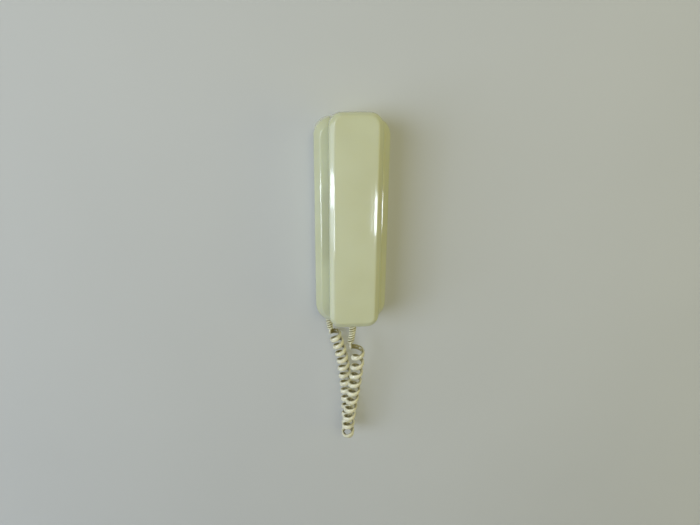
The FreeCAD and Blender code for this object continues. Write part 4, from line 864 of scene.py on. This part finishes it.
# %% Dressing every piece
NODE_FINISHES = {
    "base_cover": ivory_gloss,
    "handset_back_shell": ivory_gloss,
    "hook_lever": ivory_gloss,
    "wall_plate": ivory_satin,
    "rest_pads": soft_rubber,
    "microphone_boot": soft_rubber,
    "receiver_gasket": ring_foam,
    "cover_screw": zinc,
    "board_screws": zinc,
    "terminal_screws": zinc,
    "handset_screws": zinc,
    "hook_bracket": zinc,
    "hook_pivot_pin": drawn_steel,
    "receiver_capsule": pressed_alloy,
    "microphone_capsule": pressed_alloy,
    "ballast_weight": cast_weight,
    "circuit_board": paper_laminate,
    "call_sounder": black_resin,
    "amplifier_chip": black_resin,
    "hook_switch": black_resin,
    "terminal_block": white_nylon,
    "cord_connector": white_nylon,
    "switch_plunger": white_nylon,
    "capacitors": blue_sleeve,
}
PIECE_FINISHES = [
    (handset_front, ivory_gloss, "ivory_plastic"),
    (curly_cord, cord_vinyl, "cord_cream"),
    (inner_tail, cord_vinyl, "cord_cream"),
    (base_boot, boot_vinyl, "boot_cream"),
    (handset_boot, boot_vinyl, "boot_cream"),
    (handset_wiring, wire_vinyl, "wire_red"),
    (hook_coil, drawn_steel, "bright_steel"),
]
for name, finish in NODE_FINISHES.items():
    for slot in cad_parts[name].material_slots:
        slot.material = finish
for piece, finish, slot in PIECE_FINISHES:
    piece.data.materials.append(finish)
print(f"{len(NODE_FINISHES)} nodes and {len(PIECE_FINISHES)} new pieces have their finish")

# %% [markdown]
# ## Wall and floor
# The phone hangs on a plain pale wall that curves into a floor, as in a photographer's cove. Two planes
# would show a hard line where they meet, so both are one sheet: a profile of a wall, a quarter circle and
# a floor, carried sideways. Seen from behind, the sheet lets the view through, so that the back of the
# phone can be looked at as well.

# %% Wall and floor
WALL_GAP = 0.0004
WALL_TOP, FLOOR_LEVEL = 1.6, -2.40
COVE_RADIUS, FLOOR_REACH, HALF_STAGE = 0.25, 2.4, 2.2
COVE_STEPS = 16
PAINT_PATCH, PAINT_ROUGHNESS = 0.4, 0.9
PAINT_PALE, PAINT_GREY = (0.60, 0.62, 0.65), (0.57, 0.59, 0.62)


def cove():
    """A sheet of wall, quarter circle and floor: middle + radius * (cos(a), sin(a)) in Y and Z."""
    turn = np.radians(np.linspace(0, -90, COVE_STEPS))
    middle = WALL_GAP - COVE_RADIUS, FLOOR_LEVEL + COVE_RADIUS
    bend = np.column_stack([middle[0] + COVE_RADIUS * np.cos(turn), middle[1] + COVE_RADIUS * np.sin(turn)])
    profile = np.concatenate([[(WALL_GAP, WALL_TOP)], bend, [(-FLOOR_REACH, FLOOR_LEVEL)]])
    sides = np.array([-HALF_STAGE, HALF_STAGE])
    grid = np.stack([np.column_stack([np.full(len(profile), x), profile]) for x in sides], axis=1)
    index = np.arange(grid.shape[0] * 2).reshape(-1, 2)
    faces = np.stack([index[:-1, 0], index[1:, 0], index[1:, 1], index[:-1, 1]], axis=-1)
    mesh = bpy.data.meshes.new("cove")
    mesh.from_pydata(grid.reshape(-1, 3).tolist(), [], faces.tolist())
    mesh.polygons.foreach_set("use_smooth", np.ones(len(faces), bool))
    return bpy.data.objects.new("cove", mesh)


def pale_wall(name):
    """Matt paint in two close greys, which is see-through from behind."""
    made, tree, shader, place = new_finish(name)
    shader.inputs["Roughness"].default_value = PAINT_ROUGHNESS
    paint = tones(tree, grain(tree, place, PAINT_PATCH), NOISE_SPAN, PAINT_PALE, PAINT_GREY)
    linked(tree, shader, base_color=paint)
    behind = add(tree, "NewGeometry", {}).outputs["Backfacing"]
    clear = add(tree, "BsdfTransparent", {}).outputs["BSDF"]
    both = add(tree, "MixShader", {0: behind, 1: shader.outputs["BSDF"], 2: clear}).outputs["Shader"]
    tree.links.new(both, tree.nodes["Material Output"].inputs["Surface"])
    return made


backdrop = cove()
backdrop.data.materials.append(pale_wall("pale_wall"))
bpy.context.scene.collection.objects.link(backdrop)
backdrop.visible_shadow = False
print("backdrop from", WALL_TOP, "down to", FLOOR_LEVEL)

# %% [markdown]
# ## Light
# The room has soft daylight from the left and a warm lamp in front. Two broad cool panels and a warm one
# give that, with a weak amber panel on the right for the light that a wall throws back, and a dim warm
# sky. Glossy plastic also mirrors its windows, as upright streaks on the bevels. One lamp can't be as
# bright as a streak and as soft as the room, so five small windows are only mirrored and light nothing,
# and the front lamp only lights. A last panel stands behind the wall and lights the back.

# %% Light
PHONE_MIDDLE, WALL_MIDDLE = (0.0, -0.03, 0.0), (0.0, 0.0, 0.0)
LEFT_BEVEL, LEFT_EDGE, RIGHT_EDGE = (-0.022, -0.058, 0.040), (-0.028, -0.040, 0.010), (0.018, -0.060, 0.025)
DAYLIGHT, SHEEN = (0.90, 1.00, 1.18), (0.60, 0.75, 1.00)
LAMPLIGHT, AMBER = (1.00, 0.93, 0.58), (1.00, 0.90, 0.25)
SKY_COLOUR, SKY_STRENGTH = (1.0, 0.95, 0.65, 1), 0.11


def panel(name, place, aim, size, watts, tint, lights=True, mirrored=True):
    """A rectangular lamp turned towards a point, which may only light things or only be mirrored."""
    lamp = bpy.data.lights.new(name, "AREA")
    lamp.shape = "RECTANGLE"
    lamp.size, lamp.size_y = size
    lamp.energy, lamp.color = watts, tint
    made = bpy.data.objects.new(name, lamp)
    back = unit(np.array(place) - np.array(aim))
    right = unit(np.cross([0.0, 0.0, 1.0], back))
    made.matrix_world = placed([right, np.cross(back, right), back], place)
    made.visible_diffuse, made.visible_glossy = lights, mirrored
    bpy.context.scene.collection.objects.link(made)
    return made


def window(name, place, aim, size, watts, tint=DAYLIGHT):
    """A lamp that is only mirrored."""
    return panel(name, place, aim, size, watts, tint, lights=False)


lamps = [
    panel("key_panel", (-1.73, -2.18, 0.53), PHONE_MIDDLE, (1.5, 1.5), 26.0, DAYLIGHT),
    panel("left_panel", (-2.4, -1.2, 0.0), PHONE_MIDDLE, (1.35, 1.8), 15.0, DAYLIGHT),
    panel("front_panel", (0.22, -2.1, 0.9), PHONE_MIDDLE, (1.4, 1.4), 17.0, LAMPLIGHT, mirrored=False),
    panel("right_panel", (1.5, -0.8, 0.0), PHONE_MIDDLE, (1.0, 1.0), 3.6, AMBER),
    window("left_window", (-0.954, -0.347, -0.173), LEFT_BEVEL, (0.20, 0.088), 0.72),
    window("left_tall_window", (-0.93, -0.33, -0.40), LEFT_BEVEL, (0.30, 0.60), 0.90),
    window("left_front_window", (-0.685, -0.734, -0.243), LEFT_EDGE, (0.40, 0.200), 3.2),
    window("right_front_window", (0.470, -0.950, -0.250), RIGHT_EDGE, (0.52, 0.110), 4.0),
    window("front_window", (0.12, -1.60, -0.55), PHONE_MIDDLE, (1.8, 1.4), 3.4, SHEEN),
    panel("back_panel", (0.0, 1.2, 0.2), WALL_MIDDLE, (0.8, 0.8), 6.0, LAMPLIGHT),
]
sky = bpy.data.worlds.new("sky")
sky.use_nodes = True
sky.node_tree.nodes["Background"].inputs["Color"].default_value = SKY_COLOUR
sky.node_tree.nodes["Background"].inputs["Strength"].default_value = SKY_STRENGTH
bpy.context.scene.world = sky
bpy.context.scene.view_settings.view_transform = "Standard"
print("lamps:", [lamp.name for lamp in lamps])
